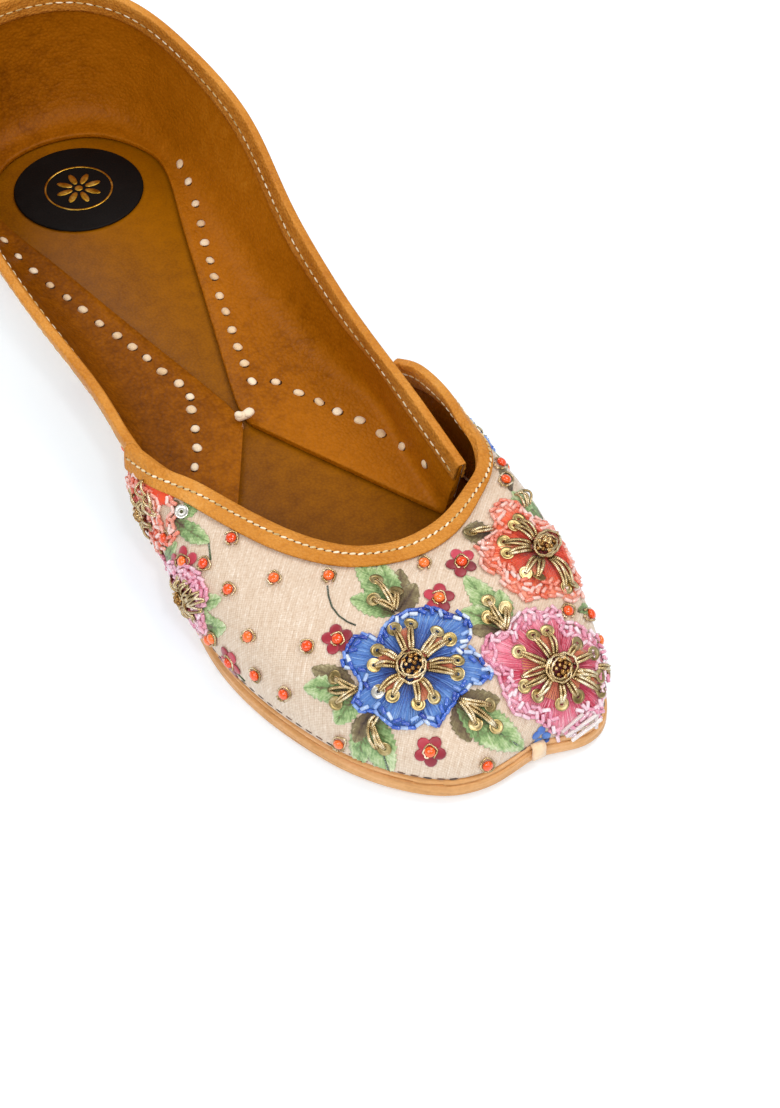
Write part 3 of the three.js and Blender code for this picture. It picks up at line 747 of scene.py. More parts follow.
def strands(name, runs, width, material, sides=6):
    """Threads or wires as one piece. A run is a list of (point, shade, share of the width)."""
    curve = bpy.data.curves.new(name, "CURVE")
    curve.dimensions = "3D"
    curve.bevel_depth = width / 2
    curve.bevel_resolution = (sides - 4) // 2
    runs = [run for run in map(apart, runs) if len(run) > 2]
    for run in runs:
        spline = curve.splines.new("POLY")
        spline.points.add(len(run) - 1)
        for point, (place, shade, share) in zip(spline.points, run):
            point.co = (*place, 1)
            point.radius = share
    mesh = mesh_as_seen(bpy.data.objects.new(name + "_holder", curve))
    shades, lengths = [], []
    for run in runs:
        gone = 0.0
        for k, (place, shade, share) in enumerate(run):
            gone += (place - run[k - 1][0]).length if k else 0.0
            shades += [shade] * sides
            lengths += [gone] * sides
    assert len(shades) == len(mesh.vertices), (name, len(shades), len(mesh.vertices))
    mesh.attributes.new("shade", "FLOAT", "POINT").data.foreach_set("value", shades)
    mesh.attributes.new("along", "FLOAT", "POINT").data.foreach_set("value", lengths)
    work = bmesh.new()
    work.from_mesh(mesh)
    bpy.data.meshes.remove(mesh)
    open_ends = [edge for edge in work.edges if edge.is_boundary]
    bmesh.ops.holes_fill(work, edges=open_ends, sides=sides)
    bmesh.ops.recalc_face_normals(work, faces=work.faces)
    place_piece(name, finished(work, name), material)


# ---------------------------------------------------------------- stitches in the leather

# Lines of stitches, in mm: on the vamp's binding a little under half its width, on the quarter's a little
# below its edge, on the side of the foot.
vamp_seam = [
    (-36.47, -20.3, 27.11), (-34.59, -28.06, 27.38), (-31.75, -34.72, 28.09), (-27.79, -42.01, 28.57),
    (-23.06, -52.4, 28.82), (-18.01, -61.73, 28.91), (-12.12, -69.58, 28.93), (-5.39, -74.99, 28.94),
    (1.71, -77.56, 28.94), (8.28, -77.98, 28.94), (14.65, -76.95, 28.94), (21.06, -74.16, 28.93),
    (27.49, -69.88, 28.88), (32.1, -66.3, 28.73), (35.42, -61.5, 28.31), (37.06, -55.41, 27.78),
    (37.17, -48.36, 27.4), (37.89, -40.12, 26.52), (37.77, -31.11, 25.14), (36.45, -23.49, 23.52),
    (34.5, -19.9, 22.3),
]
quarter_seam = [
    (-28.3, -53.5, 18.0), (-29.91, -39.74, 19.32), (-31.69, -24.22, 20.92), (-32.68, -9.82, 22.45),
    (-32.64, 5.16, 24.09), (-35.44, 27.33, 27.35), (-37.52, 51.37, 31.24), (-37.13, 74.02, 35.11),
    (-33.47, 93.04, 38.27), (-29.1, 109.2, 40.87), (-21.97, 120.68, 42.48), (-12.04, 127.24, 43.38),
    (0, 129.1, 43.61), (12.04, 127.24, 43.38), (21.98, 120.67, 42.49), (29.11, 109.19, 40.84),
    (33.32, 93.08, 38.05), (35.91, 74.1, 34.45), (34.28, 51.48, 30.23), (31.39, 27.36, 26.59),
    (30.51, 5.29, 24.75), (30.36, -9.73, 24.63), (30.13, -24.33, 24.39), (29.68, -40.84, 23.71),
    (29.3, -56.5, 22.8),
]


def smooth_line(points, pitch):
    """Evenly spaced places and ways along a smooth line through points, all in mm."""
    points = [Vector(p) for p in points]
    steps = 24
    dense = []
    for before, a, b, after in zip([points[0], *points], points, points[1:], [*points[2:], points[-1]]):
        curve, swerve = 2 * before - 5 * a + 4 * b - after, 3 * a - before - 3 * b + after
        for t in (step / steps for step in range(steps)):
            dense.append(0.5 * (2 * a + (b - before) * t + curve * t * t + swerve * t * t * t))
    dense.append(points[-1])
    spaced, owed = [], 0.0
    for a, b in zip(dense, dense[1:]):
        run = (b - a).length
        while owed < run:
            spaced.append((a.lerp(b, owed / run), (b - a).normalized()))
            owed += pitch
        owed -= run
    return spaced


def on_strip(strip, under, place, side=1):
    """The face of a binding over a place of the wall that it is folded on, or with -1 its face behind."""
    near, facing, face, far = under.find_nearest(place * mm)
    facing = facing * side
    hit, normal, face, far = strip.ray_cast(near + facing * 4 * mm, -facing)
    return (hit, normal) if hit is not None else (near + facing * 0.9 * mm, facing)


def seam(name, strip, under, line, pitch, shape, lean=0, side=1, hole=None):
    """A row of stitches along a line on a binding, each one leaning a little, with a dark shape between each two
    that paints the shade of a needle's hole.
    """
    stitches, hole_shades = [], []
    for place, way in smooth_line(line, pitch):
        hit, facing = on_strip(strip, under, place, side)
        turn = Matrix.Rotation(math.radians(lean + chance.uniform(-5, 5)), 3, facing)
        stitches.append((standing(hit, turn @ way, facing), chance.uniform(0.3, 0.9)))
    for place, way in smooth_line(line, pitch)[:-1]:
        hit, facing = on_strip(strip, under, place + way * pitch * 0.5, side)
        hole_shades.append((standing(hit - facing * 0.03 * mm, way, facing), 0.5))
    set_out(name, shape, stitches, seam_thread)
    if hole:
        set_out(name + "_holes", hole, hole_shades, hole_shade_leather)


seam_stitch = stitch_shape("seam_stitch", 2.0 * mm, 0.5 * mm, 0.42 * mm)
chain_stitch = stitch_shape("chain_stitch", 1.45 * mm, 0.54 * mm, 0.56 * mm)
# A small dark lump that paints the shade of a needle's hole in the binding.
needle_hole_shade = round_shape("needle_hole_shade", 0.55 * mm, 0.5 * mm, 0.2 * mm, 1)
on_vamp = (vamp_binding_tree, vamp_tree, vamp_seam)
on_quarter = (quarter_binding_tree, quarter_tree, quarter_seam)
seam("vamp_binding_seam", *on_vamp, 1.8, chain_stitch, 16, hole=needle_hole_shade)
seam("quarter_binding_seam", *on_quarter, 2.8, seam_stitch, hole=needle_hole_shade)
seam("vamp_binding_inner_seam", *on_vamp, 2.4, seam_stitch, side=-1)

# The hand stitches that hold the two flaps to the insole, in px of the camera's picture, from the heel forwards.
lateral_flap_stitches = [
    (3.8, 240.5), (18.2, 256.8), (33.5, 271.1), (50.1, 285.5), (67, 297.9), (82.8, 309.8), (99.5, 323.7),
    (117.1, 335.8), (132.4, 347.1), (146.9, 358.2), (162, 371.6), (178.9, 383.6), (190, 397), (191.3, 409.8),
    (195.1, 429), (197.1, 448.1), (194.6, 467.4),
]
medial_flap_stitches = [
    (180, 164), (188.4, 181.6), (195.5, 203.8), (200.9, 223.7), (204.7, 242.8), (210.1, 260.6), (214.3, 276.9),
    (219.6, 296), (225.7, 311.7), (231.9, 330.1), (237.8, 347.1), (244.5, 363.5), (252.1, 381.5), (275.8, 382.1),
    (298.8, 392.9), (319.2, 402), (337.4, 411.6), (359.8, 420.3), (380.8, 433.7), (402.2, 446.4), (424.7, 464.1),
]

hand_stitch = stitch_shape("hand_stitch", 2.6 * mm, 2.35 * mm, 1.4 * mm)
# Painted shade: a flat dark shape at each end of a hand stitch, for the hole and the pucker round it.
prick_shade = round_shape("prick_shade", 1.3 * mm, 1.9 * mm, 0.22 * mm, 1)
flap_stitches, flap_prick_shades = [], []
for row in (lateral_flap_stitches, medial_flap_stitches):
    on_row = [quarter_tree.ray_cast(camera_place, sight_line(*spot)) for spot in row]
    for k, (hit, facing, face, far) in enumerate(on_row):
        way = (on_row[min(k + 1, len(row) - 1)][0] - on_row[max(k - 1, 0)][0]).normalized()
        turn = Matrix.Rotation(math.radians(chance.uniform(-30, 30)), 3, facing)
        size = Matrix.Diagonal((chance.uniform(0.85, 1.1), chance.uniform(0.8, 1.1), 1, 1))
        flap_stitches.append((standing(hit, turn @ way, facing) @ size, chance.uniform(0.45, 0.95)))
        for end in (-1, 1):  # painted shade of the hole and pucker at each end of the stitch
            flap_prick_shades.append((standing(hit + way * end * 1.05 * mm, way, facing), 0.5))

# The tie: two lobes of the same thread beside each other where the flaps meet.
tie_low, tie_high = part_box("centre_tie")
tie_middle = (tie_low + tie_high) / 2
tie_middle.z = tie_high.z - 0.5 * mm
tie_way = (camera_right * 10 + Vector((camera_up.x, camera_up.y, 0)) * 5).normalized()
for end, size in ((-1.25, 0.85), (1.2, 1.15)):
    lobe = standing(tie_middle + tie_way * end * mm, tie_way, Vector((0, 0, 1)))
    shaped = Matrix.Rotation(end * 0.4, 4, "Z") @ Matrix.Diagonal((size, size, 1.2, 1))
    flap_stitches.append((lobe @ shaped, 0.95))
set_out("flap_hand_stitches", hand_stitch, flap_stitches, cream_thread)
set_out("flap_prick_holes", prick_shade, flap_prick_shades, hole_shade_leather)

# ---------------------------------------------------------------- embroidery on the vamp

blue_satin, pink_satin, coral_satin, crimson_satin = [
    satin_fill(name + "_satin", stops)
    for name, stops in [
        ("blue", [(0.1, "#121a4a"), (0.32, "#1f3a86"), (0.52, "#315eb0"), (0.74, "#5f8fd0"), (0.95, "#3563b4")]),
        ("pink", [(0.05, "#860d26"), (0.28, "#ba1d3e"), (0.48, "#d43a5a"), (0.72, "#e88097"), (0.95, "#f4b2be")]),
        ("coral", [(0.05, "#ae1a06"), (0.28, "#e03a0e"), (0.52, "#f0541a"), (0.74, "#f47a4c"), (0.95, "#f9a58a")]),
        ("crimson", [(0.0, "#4c0512"), (0.4, "#8c0e24"), (0.75, "#b11c34"), (1.0, "#cd4a60")]),
    ]
]
leaf_greens = [(0.0, "#4b3423"), (0.2, "#62623a"), (0.42, "#6b8b50"), (0.66, "#98b174"), (1.0, "#d0d6ae")]
leaf_umbers = [(0.0, "#33200f"), (0.3, "#57422a"), (0.6, "#6e5f3c"), (0.85, "#8a7d57"), (1.1, "#b0a27c")]
leaf_print = printed_leaf("leaf_print", leaf_greens)
dark_leaf_print = printed_leaf("dark_leaf_print", leaf_umbers)
copper_thread, blue_thread, pink_thread, coral_thread = [
    thread(name + "_thread", stops, pitch=0.0009)
    for name, stops in [
        ("copper", [(0.05, "#5f1d24"), (0.45, "#a8402f"), (0.8, "#cf7048"), (1.0, "#dc9a6c")]),
        ("blue", [(0.05, "#101b50"), (0.35, "#234392"), (0.68, "#4372c0"), (1.0, "#8cb1e2")]),
        ("pink", [(0.05, "#9a1530"), (0.35, "#cc3655"), (0.7, "#e3778c"), (1.0, "#f5bcc8")]),
        ("coral", [(0.05, "#96161c"), (0.4, "#d83a20"), (0.75, "#ee5a30"), (1.0, "#f58b68")]),
    ]
]
gold_wire = metal("gold_wire", [(0.3, "#8f7850"), (0.5, "#c6ac7e"), (0.7, "#f2e4c6")], 0.25, 0.00042, 0.000028)
gold_sequin = metal("gold_sequin", [(0.3, "#94804f"), (0.5, "#b8a06c"), (0.7, "#dccb9c")], 0.33)
gold_bead = metal("gold_bead", [(0.3, "#6e4a24"), (0.5, "#a67c46"), (0.7, "#e2c592")], 0.22)
silver_sequin = metal("silver_sequin", [(0.3, "#d9d5cb"), (0.6, "#f6f3ea")], 0.3)
# The blue beads run up to near white: paler glass, and painted highlight in the palest of them.
blue_glass = glass_bead("blue_glass", [(0.0, "#213ba2"), (0.42, "#4471d6"), (0.68, "#96b9f2"), (1.0, "#eaf3fe")])
pink_glass = glass_bead("pink_glass", [(0.0, "#e688a4"), (0.5, "#f4b6c8"), (1.0, "#fdebf0")])
coral_glass = glass_bead("coral_glass", [(0.0, "#ef7458"), (0.5, "#f9a68f"), (1.0, "#fee0d6")])
clear_glass = glass_bead("clear_glass", [(0.0, "#f0dcd8"), (1.0, "#fdf6f3")], 0.08, 0.35)
orange_stone = glass_bead("orange_stone", [(0.0, "#e24000"), (0.5, "#ee5608"), (1.0, "#f8782a")], 0.12, 0.02)

# Outlines of the three large flowers: (degrees, distance in px) from the middle; a notch parts two petals.
blue_flower = {
    "middle": (412, 667.5),
    "outline": [
        (-176, 57), (-162, 53), (-155.5, 54), (-153, 64), (-148, 69), (-140.7, 67), (-130, 57), (-123, 58),
        (-108, 62), (-94, 61), (-76, 55), (-67, 65), (-55, 58), (-39, 55.5), (-28.6, 55), (-16, 63),
        (-8.3, 78), (-4.5, 80), (6.4, 67), (16.8, 61), (18.2, 48), (20.8, 53), (27.5, 65), (40.5, 73),
        (51, 69), (55.8, 63.4), (63.7, 63.4), (84, 57.8), (104, 54), (135.6, 44.6), (140, 43), (146.6, 59),
        (152.7, 65), (158.8, 66), (169.6, 69), (178, 69),
    ],
    "notches": [-162, -130, -76, -28.6, 18.2, 58, 96, 138],
}
pink_flower = {
    "middle": (558, 670),
    "outline": [
        (-172.6, 58.6), (-163, 59.5), (-154, 60), (-138.6, 62.5), (-130, 59), (-120.6, 55), (-111, 53.6),
        (-102, 56), (-90.5, 66), (-84, 66.6), (-71, 61), (-53, 53), (-49, 68), (-42, 71), (-32, 71),
        (-23.5, 69), (-17, 65), (-10, 56.5), (0, 49), (9.2, 55), (18.6, 55), (30, 50), (41.4, 49),
        (56.6, 46.5), (70.4, 46.5), (86.3, 47.6), (89.4, 57.5), (96.4, 62), (105.5, 58), (113, 65),
        (120, 68), (130, 67), (138.4, 66), (145, 63), (149, 71), (154.9, 77), (165.4, 79), (172.7, 79),
        (180, 65.6),
    ],
    "notches": [-172.6, -111, -53, 0, 86.3, 142],
}
coral_flower = {
    "middle": (542, 550),
    "outline": [
        (-175, 62), (-166, 62.5), (-157.5, 59), (-152, 50), (-144, 47), (-140, 54.6), (-132.5, 52.6),
        (-120, 51), (-111, 53.6), (-103, 52.6), (-95, 48), (-80, 47), (-69, 51), (-62, 59.5), (-48, 61),
        (-41.6, 53), (-33, 46), (-23, 44), (-6, 44), (12, 46), (30, 34), (49, 42), (66, 38), (80, 28), (94, 27.6),
        (109.5, 32), (116, 39), (120, 51), (126, 60), (134, 64), (144, 64), (150, 55), (161, 51),
        (168, 55.5), (174, 61), (179, 67),
    ],
    "notches": [-148, -90, -35, 40, 109.5, 155],
}


def outline_at(flower, degrees):
    """How far the flower's edge is from its middle, in px, at an angle."""
    points = flower["outline"]
    degrees = (degrees + 180) % 360 - 180
    ring = [(points[-1][0] - 360, points[-1][1]), *points, (points[0][0] + 360, points[0][1])]
    for (a, near), (b, far) in zip(ring, ring[1:]):
        if a <= degrees <= b:
            return near + (far - near) * (degrees - a) / (b - a)
    return points[0][1]


def petal_swell(flower, degrees):
    """0 in the groove between two petals and 1 along the middle of a petal."""
    degrees = (degrees + 180) % 360 - 180
    notches = flower["notches"]
    ring = [notches[-1] - 360, *notches, notches[0] + 360]
    for a, b in zip(ring, ring[1:]):
        if a <= degrees <= b:
            return math.sin(math.pi * (degrees - a) / (b - a)) ** 0.5
    return 0.5


def petal_lift(flower, degrees, reach):
    """How high the padded petals stand off the cloth, in mm."""
    swell = petal_swell(flower, degrees)
    edge = math.sin(math.pi * min(max(0.12 + 0.8 * reach, 0), 0.97)) ** 0.5
    return 0.2 + (0.35 + 0.65 * swell) * edge * flower.get("puff", 0.9)


def padded_petals(name, flower, material, slices=120, rings=10):
    """The satin ground of a flower, combed from the middle out, one puffed petal beside the next."""
    work = bmesh.new()
    bmesh.ops.create_grid(work, x_segments=slices, y_segments=rings, size=1)
    shade = work.verts.layers.float.new("shade")
    combed = work.loops.layers.uv.new("threads")
    for face in work.faces:
        for loop in face.loops:
            loop[combed].uv = ((loop.vert.co.x + 1) * 0.045, (loop.vert.co.y + 1) * 0.0075)
    for vertex in work.verts:
        degrees = (vertex.co.x + 1) * 180
        reach = (vertex.co.y + 1) / 2
        vertex[shade] = reach * (0.45 + 0.55 * petal_swell(flower, degrees))
        spot = polar_px(flower["middle"], degrees, outline_at(flower, degrees) * reach)
        lift = petal_lift(flower, degrees, reach) if reach < 0.99 else 0.12
        vertex.co = on_cloth(*spot, lift)[0]
    bmesh.ops.remove_doubles(work, verts=work.verts, dist=0.02 * mm)
    work.normal_update()
    if sum(face.normal.dot(looking["back"]) for face in work.faces) < 0:
        bmesh.ops.reverse_faces(work, faces=work.faces)
    thicken(place_piece(name, finished(work, name), material), 0.2 * mm)


def petal_threads(name, flower, material, count, starts, ends, width):
    """Single threads over the satin ground, each from its own start to its own end."""
    runs = []
    for k in range(count):
        degrees = 360 * (k + chance.uniform(-0.35, 0.35)) / count
        start, end = chance.uniform(*starts), chance.uniform(*ends)
        tint = chance.uniform(-0.16, 0.16)
        lean = chance.uniform(-2.5, 2.5)
        run = []
        for step in range(6):
            reach = start + (end - start) * step / 5
            angle = degrees + lean * step / 5
            lift = petal_lift(flower, angle, reach) + 0.12 * math.sin(math.pi * step / 5)
            spot = polar_px(flower["middle"], angle, outline_at(flower, angle) * reach)
            run.append((on_cloth(*spot, lift)[0], reach + tint, 1.0))
        runs.append(run)
    strands(name, runs, width, material, sides=4)


def edge_beads(name, flower, material, pitch_px, inset_px, scatter, heights):
    """Tube beads sewn end to end round the flower's edge, in and out a little."""
    places = []
    walked = 0.0
    last = polar_px(flower["middle"], 0, outline_at(flower, 0))
    for half_degree in range(1, 721):
        degrees = half_degree / 2
        edge_px = outline_at(flower, degrees)
        spot = polar_px(flower["middle"], degrees, edge_px)
        walked += math.dist(spot, last)
        if walked >= pitch_px and spot != last:
            walked = 0.0
            at_px = polar_px(flower["middle"], degrees, edge_px - chance.uniform(*inset_px))
            turned = heading_px(last, spot) + chance.uniform(-scatter, scatter)
            lean = 0.25 * Vector((chance.uniform(-1, 1), chance.uniform(-1, 1), 0))
            places.append((sewn(at_px, turned, chance.uniform(*heights), lean), chance.random()))
        last = spot
    set_out(name, bugle, places, material)


bugle = bead_shape("bugle_bead", 1.9 * mm, 0.92 * mm)
long_bugle_mm = 4.6
long_bugle = bead_shape("long_bugle_bead", long_bugle_mm * mm, 0.9 * mm)
sequin_cut = [(0.42, 0.12), (0.62, 0), (1.2, 0.06), (1.62, 0.24)]
sequin = spun_shape("sequin", [(radius * mm, height * mm) for radius, height in sequin_cut], 18, 0.08 * mm)
gold_seed = round_shape("gold_seed", 1.25 * mm, 1.25 * mm, 1.15 * mm)
stone_shape = round_shape("stone", 2.5 * mm, 2.5 * mm, 1.7 * mm)
small_petal = round_shape("small_petal", 3.3 * mm, 2.9 * mm, 0.4 * mm)


def sequin_places(spots, lift, held=True, size=1.0):
    """Sequins that each tip their own way."""
    places = []
    for x, y in spots:
        if held:
            hold_at(x, y)
        degrees = chance.uniform(0, 360)
        lean = Vector((chance.uniform(-0.35, 0.35), chance.uniform(-0.35, 0.35), 0))
        places.append((sewn((x, y), degrees, lift, lean, size), 0.5))
    return places


def doubled_wire(start_px, end_px, spread_px=0.9, rise=1.3, held=True):
    """Two strands side by side from a sequin's hole to where both go through the cloth."""
    runs = []
    if held:
        hold_at(*end_px)
    dx, dy = end_px[0] - start_px[0], end_px[1] - start_px[1]
    long = math.hypot(dx, dy)
    across = (-dy / long, dx / long)
    bow = chance.uniform(-1.6, 1.6)
    for side in (-1, 1):
        run = []
        for step in range(9):
            t = step / 8
            arch = math.sin(math.pi * t)
            aside = side * (0.7 + spread_px * arch + 0.7 * t) + bow * arch
            spot = (start_px[0] + dx * t + across[0] * aside, start_px[1] + dy * t + across[1] * aside)
            run.append((on_cloth(*spot, 0.95 + rise * arch**0.7)[0], 0.5, 1.0))
        runs.append(run)
    return runs


def flower_wires(flower, spots, ring_px):
    """Doubled wires from the sequins of a flower to the ring round its middle."""
    middle = flower["middle"]
    runs = []
    for spot in spots:
        runs += doubled_wire(spot, between_px(middle, spot, ring_px / math.dist(middle, spot)), held=False)
    return runs


def centre_ring(flower, ring_px, turns=3):
    """Thick coiled wire laid loosely round the middle of a flower."""
    runs = []
    for k in range(turns):
        run = []
        aside, turn = chance.uniform(-1.4, 1.4), chance.uniform(0, 6)
        for step in range(31):
            wobble = 1 + 0.09 * math.sin(step * 0.42 + turn) + 0.04 * math.sin(step * 1.9 + k)
            x, y = polar_px(flower["middle"], turn * 60 + step * 352 / 30, (ring_px - 2.2 * k) * wobble)
            run.append((on_cloth(x + aside, y - aside, 1.8 + 0.35 * k)[0], 0.5, 1.0 if k else 1.25))
        runs.append(run)
    return runs


def centre_seeds(flower, radius_px, count):
    """Gold beads heaped in the middle of a flower."""
    places = []
    golden_angle = 137.5
    for k in range(count):
        away = radius_px * math.sqrt((k + 0.4) / count)
        here, facing = on_cloth(*polar_px(flower["middle"], k * golden_angle, away))
        lift = 2.0 + 0.9 * (1 - (away / radius_px) ** 2)
        size = chance.uniform(0.75, 1.2)
        places.append((standing(here + facing * lift * mm, looking["right"], facing) @ Matrix.Scale(size, 4), 0.5))
    return places


def copper_wedge(flower, first, second, count=11):
    """Copper silk that fills the wedge between two sequins of a pair, out from the middle ring."""
    runs = []
    for k in range(count):
        end = between_px(first, second, (k + 0.5) / count)
        lift = 1.3 + 0.12 * math.sin(k * 2.1)
        reaches = [0.3 + 0.66 * step / 5 for step in range(6)]
        spots = [(reach, between_px(flower["middle"], end, reach)) for reach in reaches]
        runs.append([(on_cloth(*spot, lift)[0], 0.15 + reach * 0.8, 1.0) for reach, spot in spots])
    return runs


palette = {
    "blue": (blue_satin, blue_thread, blue_glass),
    "pink": (pink_satin, pink_thread, pink_glass),
    "coral": (coral_satin, coral_thread, coral_glass),
}


def whole_flower(name, colour, flower, sequins, ring_px, size=1.0):
    """Everything sewn on for one flower: padded petals, threads, beads, sequins, wires and its middle."""
    satin, fine, glass = palette[colour]
    hold_at(*flower["middle"], 15)
    padded_petals(name + "_petals", flower, satin)
    petal_threads(name + "_inner_threads", flower, fine, 90, (0.2, 0.35), (0.5, 0.7), 0.26 * mm)
    petal_threads(name + "_outer_threads", flower, fine, 120, (0.45, 0.65), (0.8, 0.94), 0.26 * mm)
    second_pitch = 9.5 if colour == "blue" else 7.4
    edge_beads(name + "_edge_beads", flower, glass, 7.6, (-0.8, 1.6), 22, (0.4, 0.8))
    edge_beads(name + "_second_beads", flower, glass, second_pitch, (4.0, 8.0), 70, (0.8, 1.2))
    if colour != "blue":
        edge_beads(name + "_third_beads", flower, glass, 7.4, (8.5, 14.0), 80, (1.0, 1.35))
    if size == 1:
        wedges = []
        for first, second in zip(sequins[::2], sequins[1::2]):
            wedges += copper_wedge(flower, first, second)
        strands(name + "_copper_wedges", wedges, 0.36 * mm, copper_thread, sides=4)
    wires = flower_wires(flower, sequins, ring_px)
    strands(name + "_wires", wires, 0.84 * size * mm, gold_wire)
    strands(name + "_ring", centre_ring(flower, ring_px), 0.62 * size * mm, gold_wire)
    seeds = centre_seeds(flower, ring_px * 0.72, round(14 * size))
    set_out(name + "_middle_beads", gold_seed, seeds, gold_bead)
    set_out(name + "_sequins", sequin, sequin_places(sequins, 1.45, False, size), gold_sequin)


# Sequins, each sewn down with a doubled gold wire that runs to the ring in the middle of its flower.
blue_sequins = [
    (394.4, 632.5), (410.6, 627.5), (436.3, 635), (448.8, 642.5), (456.3, 663.1), (456.3, 676.3),
    (433.1, 698.8), (418.1, 705.6), (379.4, 693.1), (393.1, 696.9), (374.4, 667.5), (378.1, 653.1),
]
pink_sequins = [
    (531.3, 638.1), (545, 633.8), (516.9, 653.8), (521.9, 687.5), (535, 696.3), (559.4, 703.1), (575, 696.3),
    (580, 678.1), (594.4, 677.5), (595, 691.3), (588.8, 655.6), (573.8, 646.3),
]
coral_sequins = [
    (516.9, 523.8), (512.5, 530), (502.5, 546.3), (505.6, 557.5), (523.8, 576.9), (536.3, 580.6),
    (563.1, 591.3), (568.8, 587.5),
]
# The sequins of the leaves, by the place where their wires go through the cloth.
leaf_roots = {
    (395, 612): [(376.3, 582.5), (396.3, 593.8), (373.8, 601.9)],
    (358, 690): [(335.8, 678.3), (337.5, 702.5)],
    (373, 722): [(385.8, 746.7)],
    (458, 701): [(488.3, 705.8), (474.2, 724.2), (494.2, 726.7)],
    (504, 631): [(487.5, 603.1), (504.4, 610), (486.9, 619.4)],
    (492.5, 531): [(470.6, 535)],
    (594, 668): [(609, 672)],
}
whole_flower("blue_flower", "blue", blue_flower, blue_sequins, 15)
whole_flower("pink_flower", "pink", pink_flower, pink_sequins, 14)
whole_flower("coral_flower", "coral", coral_flower, coral_sequins, 12)
wires = []
for root, spots in leaf_roots.items():
    for spot in spots:
        wires += doubled_wire(spot, root, 0.7, 0.9)
for start, end in [
    ((520, 678), (548, 668)), ((372, 727), (378, 716)), ((379, 747), (372, 718)), ((330, 690), (356, 690)),
]:
    wires += doubled_wire(start, end, 1.6, 0.9)
strands("leaf_wires", wires, 0.8 * mm, gold_wire)
set_out("leaf_sequins", sequin, sequin_places(sum(leaf_roots.values(), []), 0.9), gold_sequin)
set_out("silver_sequins", sequin, sequin_places([(185, 514), (379.4, 693.1)], 1.55), silver_sequin)


def sown_again(flower, middle, size, turn):
    """The same flower elsewhere: its middle in px, its size and its turn in degrees."""
    return {
        "middle": middle,
        "outline": sorted(((a + turn + 180) % 360 - 180, r * size) for a, r in flower["outline"]),
        "notches": sorted((a + turn + 180) % 360 - 180 for a in flower["notches"]),
        "puff": 0.7,
    }


def petal_sequins(flower, share=0.58):
    """One sequin on each petal, a little in from its edge."""
    notches = flower["notches"] + [flower["notches"][0] + 360]
    middles = [(a + b) / 2 for a, b in zip(notches, notches[1:])]
    return [polar_px(flower["middle"], angle, outline_at(flower, angle) * share) for angle in middles]


# Flowers on the two sides of the vamp, which the camera sees only from above.
for name, colour, flower, view, middle, size, turn in [
    ("lateral_coral_flower", "coral", pink_flower, lateral_view, (285, 538), 0.66, 40),
    ("lateral_pink_flower", "pink", blue_flower, lateral_view, (389, 556), 0.6, 0),
    ("medial_blue_flower", "blue", blue_flower, medial_view, (440, 559), 0.52, 90),
]:
    looking.update(view)
    again = sown_again(flower, middle, size, turn)
    whole_flower(name, colour, again, petal_sequins(again), 8, 0.7)
looking.update(camera_view)

# Leaves: (root, tip, width in px)
green_leaves = [
    ((395, 614), (350, 599), 22), ((395, 612), (356, 562), 26), ((394, 610), (380, 563), 22),
    ((358, 694), (304, 687), 26), ((360, 694), (336, 724), 24), ((371.7, 712), (391, 774), 30),
    ((368, 712), (360, 768), 22), ((455, 699), (523, 748), 36), ((503, 629), (464, 576), 24),
    ((503, 629), (499, 590), 20), ((503, 629), (461, 611), 22), ((176, 520), (210, 543), 18),
    ((176, 518), (199, 500), 14), ((190, 604), (222, 598), 16), ((190, 608), (214, 622), 14),
    ((512, 512), (541, 492), 14), ((512, 514), (520, 490), 12), ((577, 612), (600, 600), 12),
    ((538, 518), (511, 492), 10), ((542, 520), (521, 486), 10),
]
dark_leaves = [
    ((396, 612), (400, 569), 20), ((397, 612), (416, 584), 20), ((358, 692), (312, 668), 22),
    ((372, 712), (355, 742), 18), ((455, 699), (500, 700), 22), ((456, 702), (470, 742), 20),
    ((500, 631), (470, 630), 16), ((492, 536), (462, 532), 20), ((604, 628), (622, 640), 10),
    ((236, 680), (214, 660), 10), ((512, 492), (499, 466), 9), ((152, 500), (143, 478), 12),
    ((178, 524), (176, 500), 12), ((192, 606), (196, 584), 12),
]


def leaf_blade(work, root_px, tip_px, width_px, layer):
    """Adds one leaf to a bmesh: a grid drawn to a leaf's outline with pointed teeth, its middle vein a darker tone.
    """
    piece = bmesh.ops.create_grid(work, x_segments=10, y_segments=40, size=1)
    shade = work.verts.layers.float["shade"]
    combed = work.loops.layers.uv["threads"]
    dx, dy = tip_px[0] - root_px[0], tip_px[1] - root_px[1]
    long = math.hypot(dx, dy)
    across = (-dy / long, dx / long)
    tooth_px = 6.5
    teeth = max(round(long / tooth_px), 4)
    hold_at(*root_px)
    for face in {f for v in piece["verts"] for f in v.link_faces}:
        for loop in face.loops:
            side, far = loop.vert.co.x, (loop.vert.co.y + 1) / 2
            loop[combed].uv = (far * 0.03 - abs(side) * 0.008, side * 0.002)
    for vertex in piece["verts"]:
        side, far = vertex.co.x, (vertex.co.y + 1) / 2
        point = (far * teeth + 0.4 * (side > 0)) % 1
        jag = 1 + (0.26 * (1 - point) - 0.06) * abs(side) ** 3
        half = width_px / 2 * math.sin(math.pi * min(far * 0.93 + 0.05, 1)) ** 0.75 * jag if far <= 0.985 else 0.2
        aside = side * half + 0.04 * long * math.sin(math.pi * far)
        ahead = far + 0.05 * abs(side) * (1 - far)
        spot = (root_px[0] + dx * ahead + across[0] * aside, root_px[1] + dy * ahead + across[1] * aside)
        vertex[shade] = 0.02 + 0.24 * abs(side) + 0.62 * far ** 0.8 - (0.18 if abs(side) < 0.15 else 0)
        lift = 0.14 + layer * 0.05 + 0.06 * (1 - abs(side) ** 3)
        vertex.co = on_cloth(*spot, lift)[0]


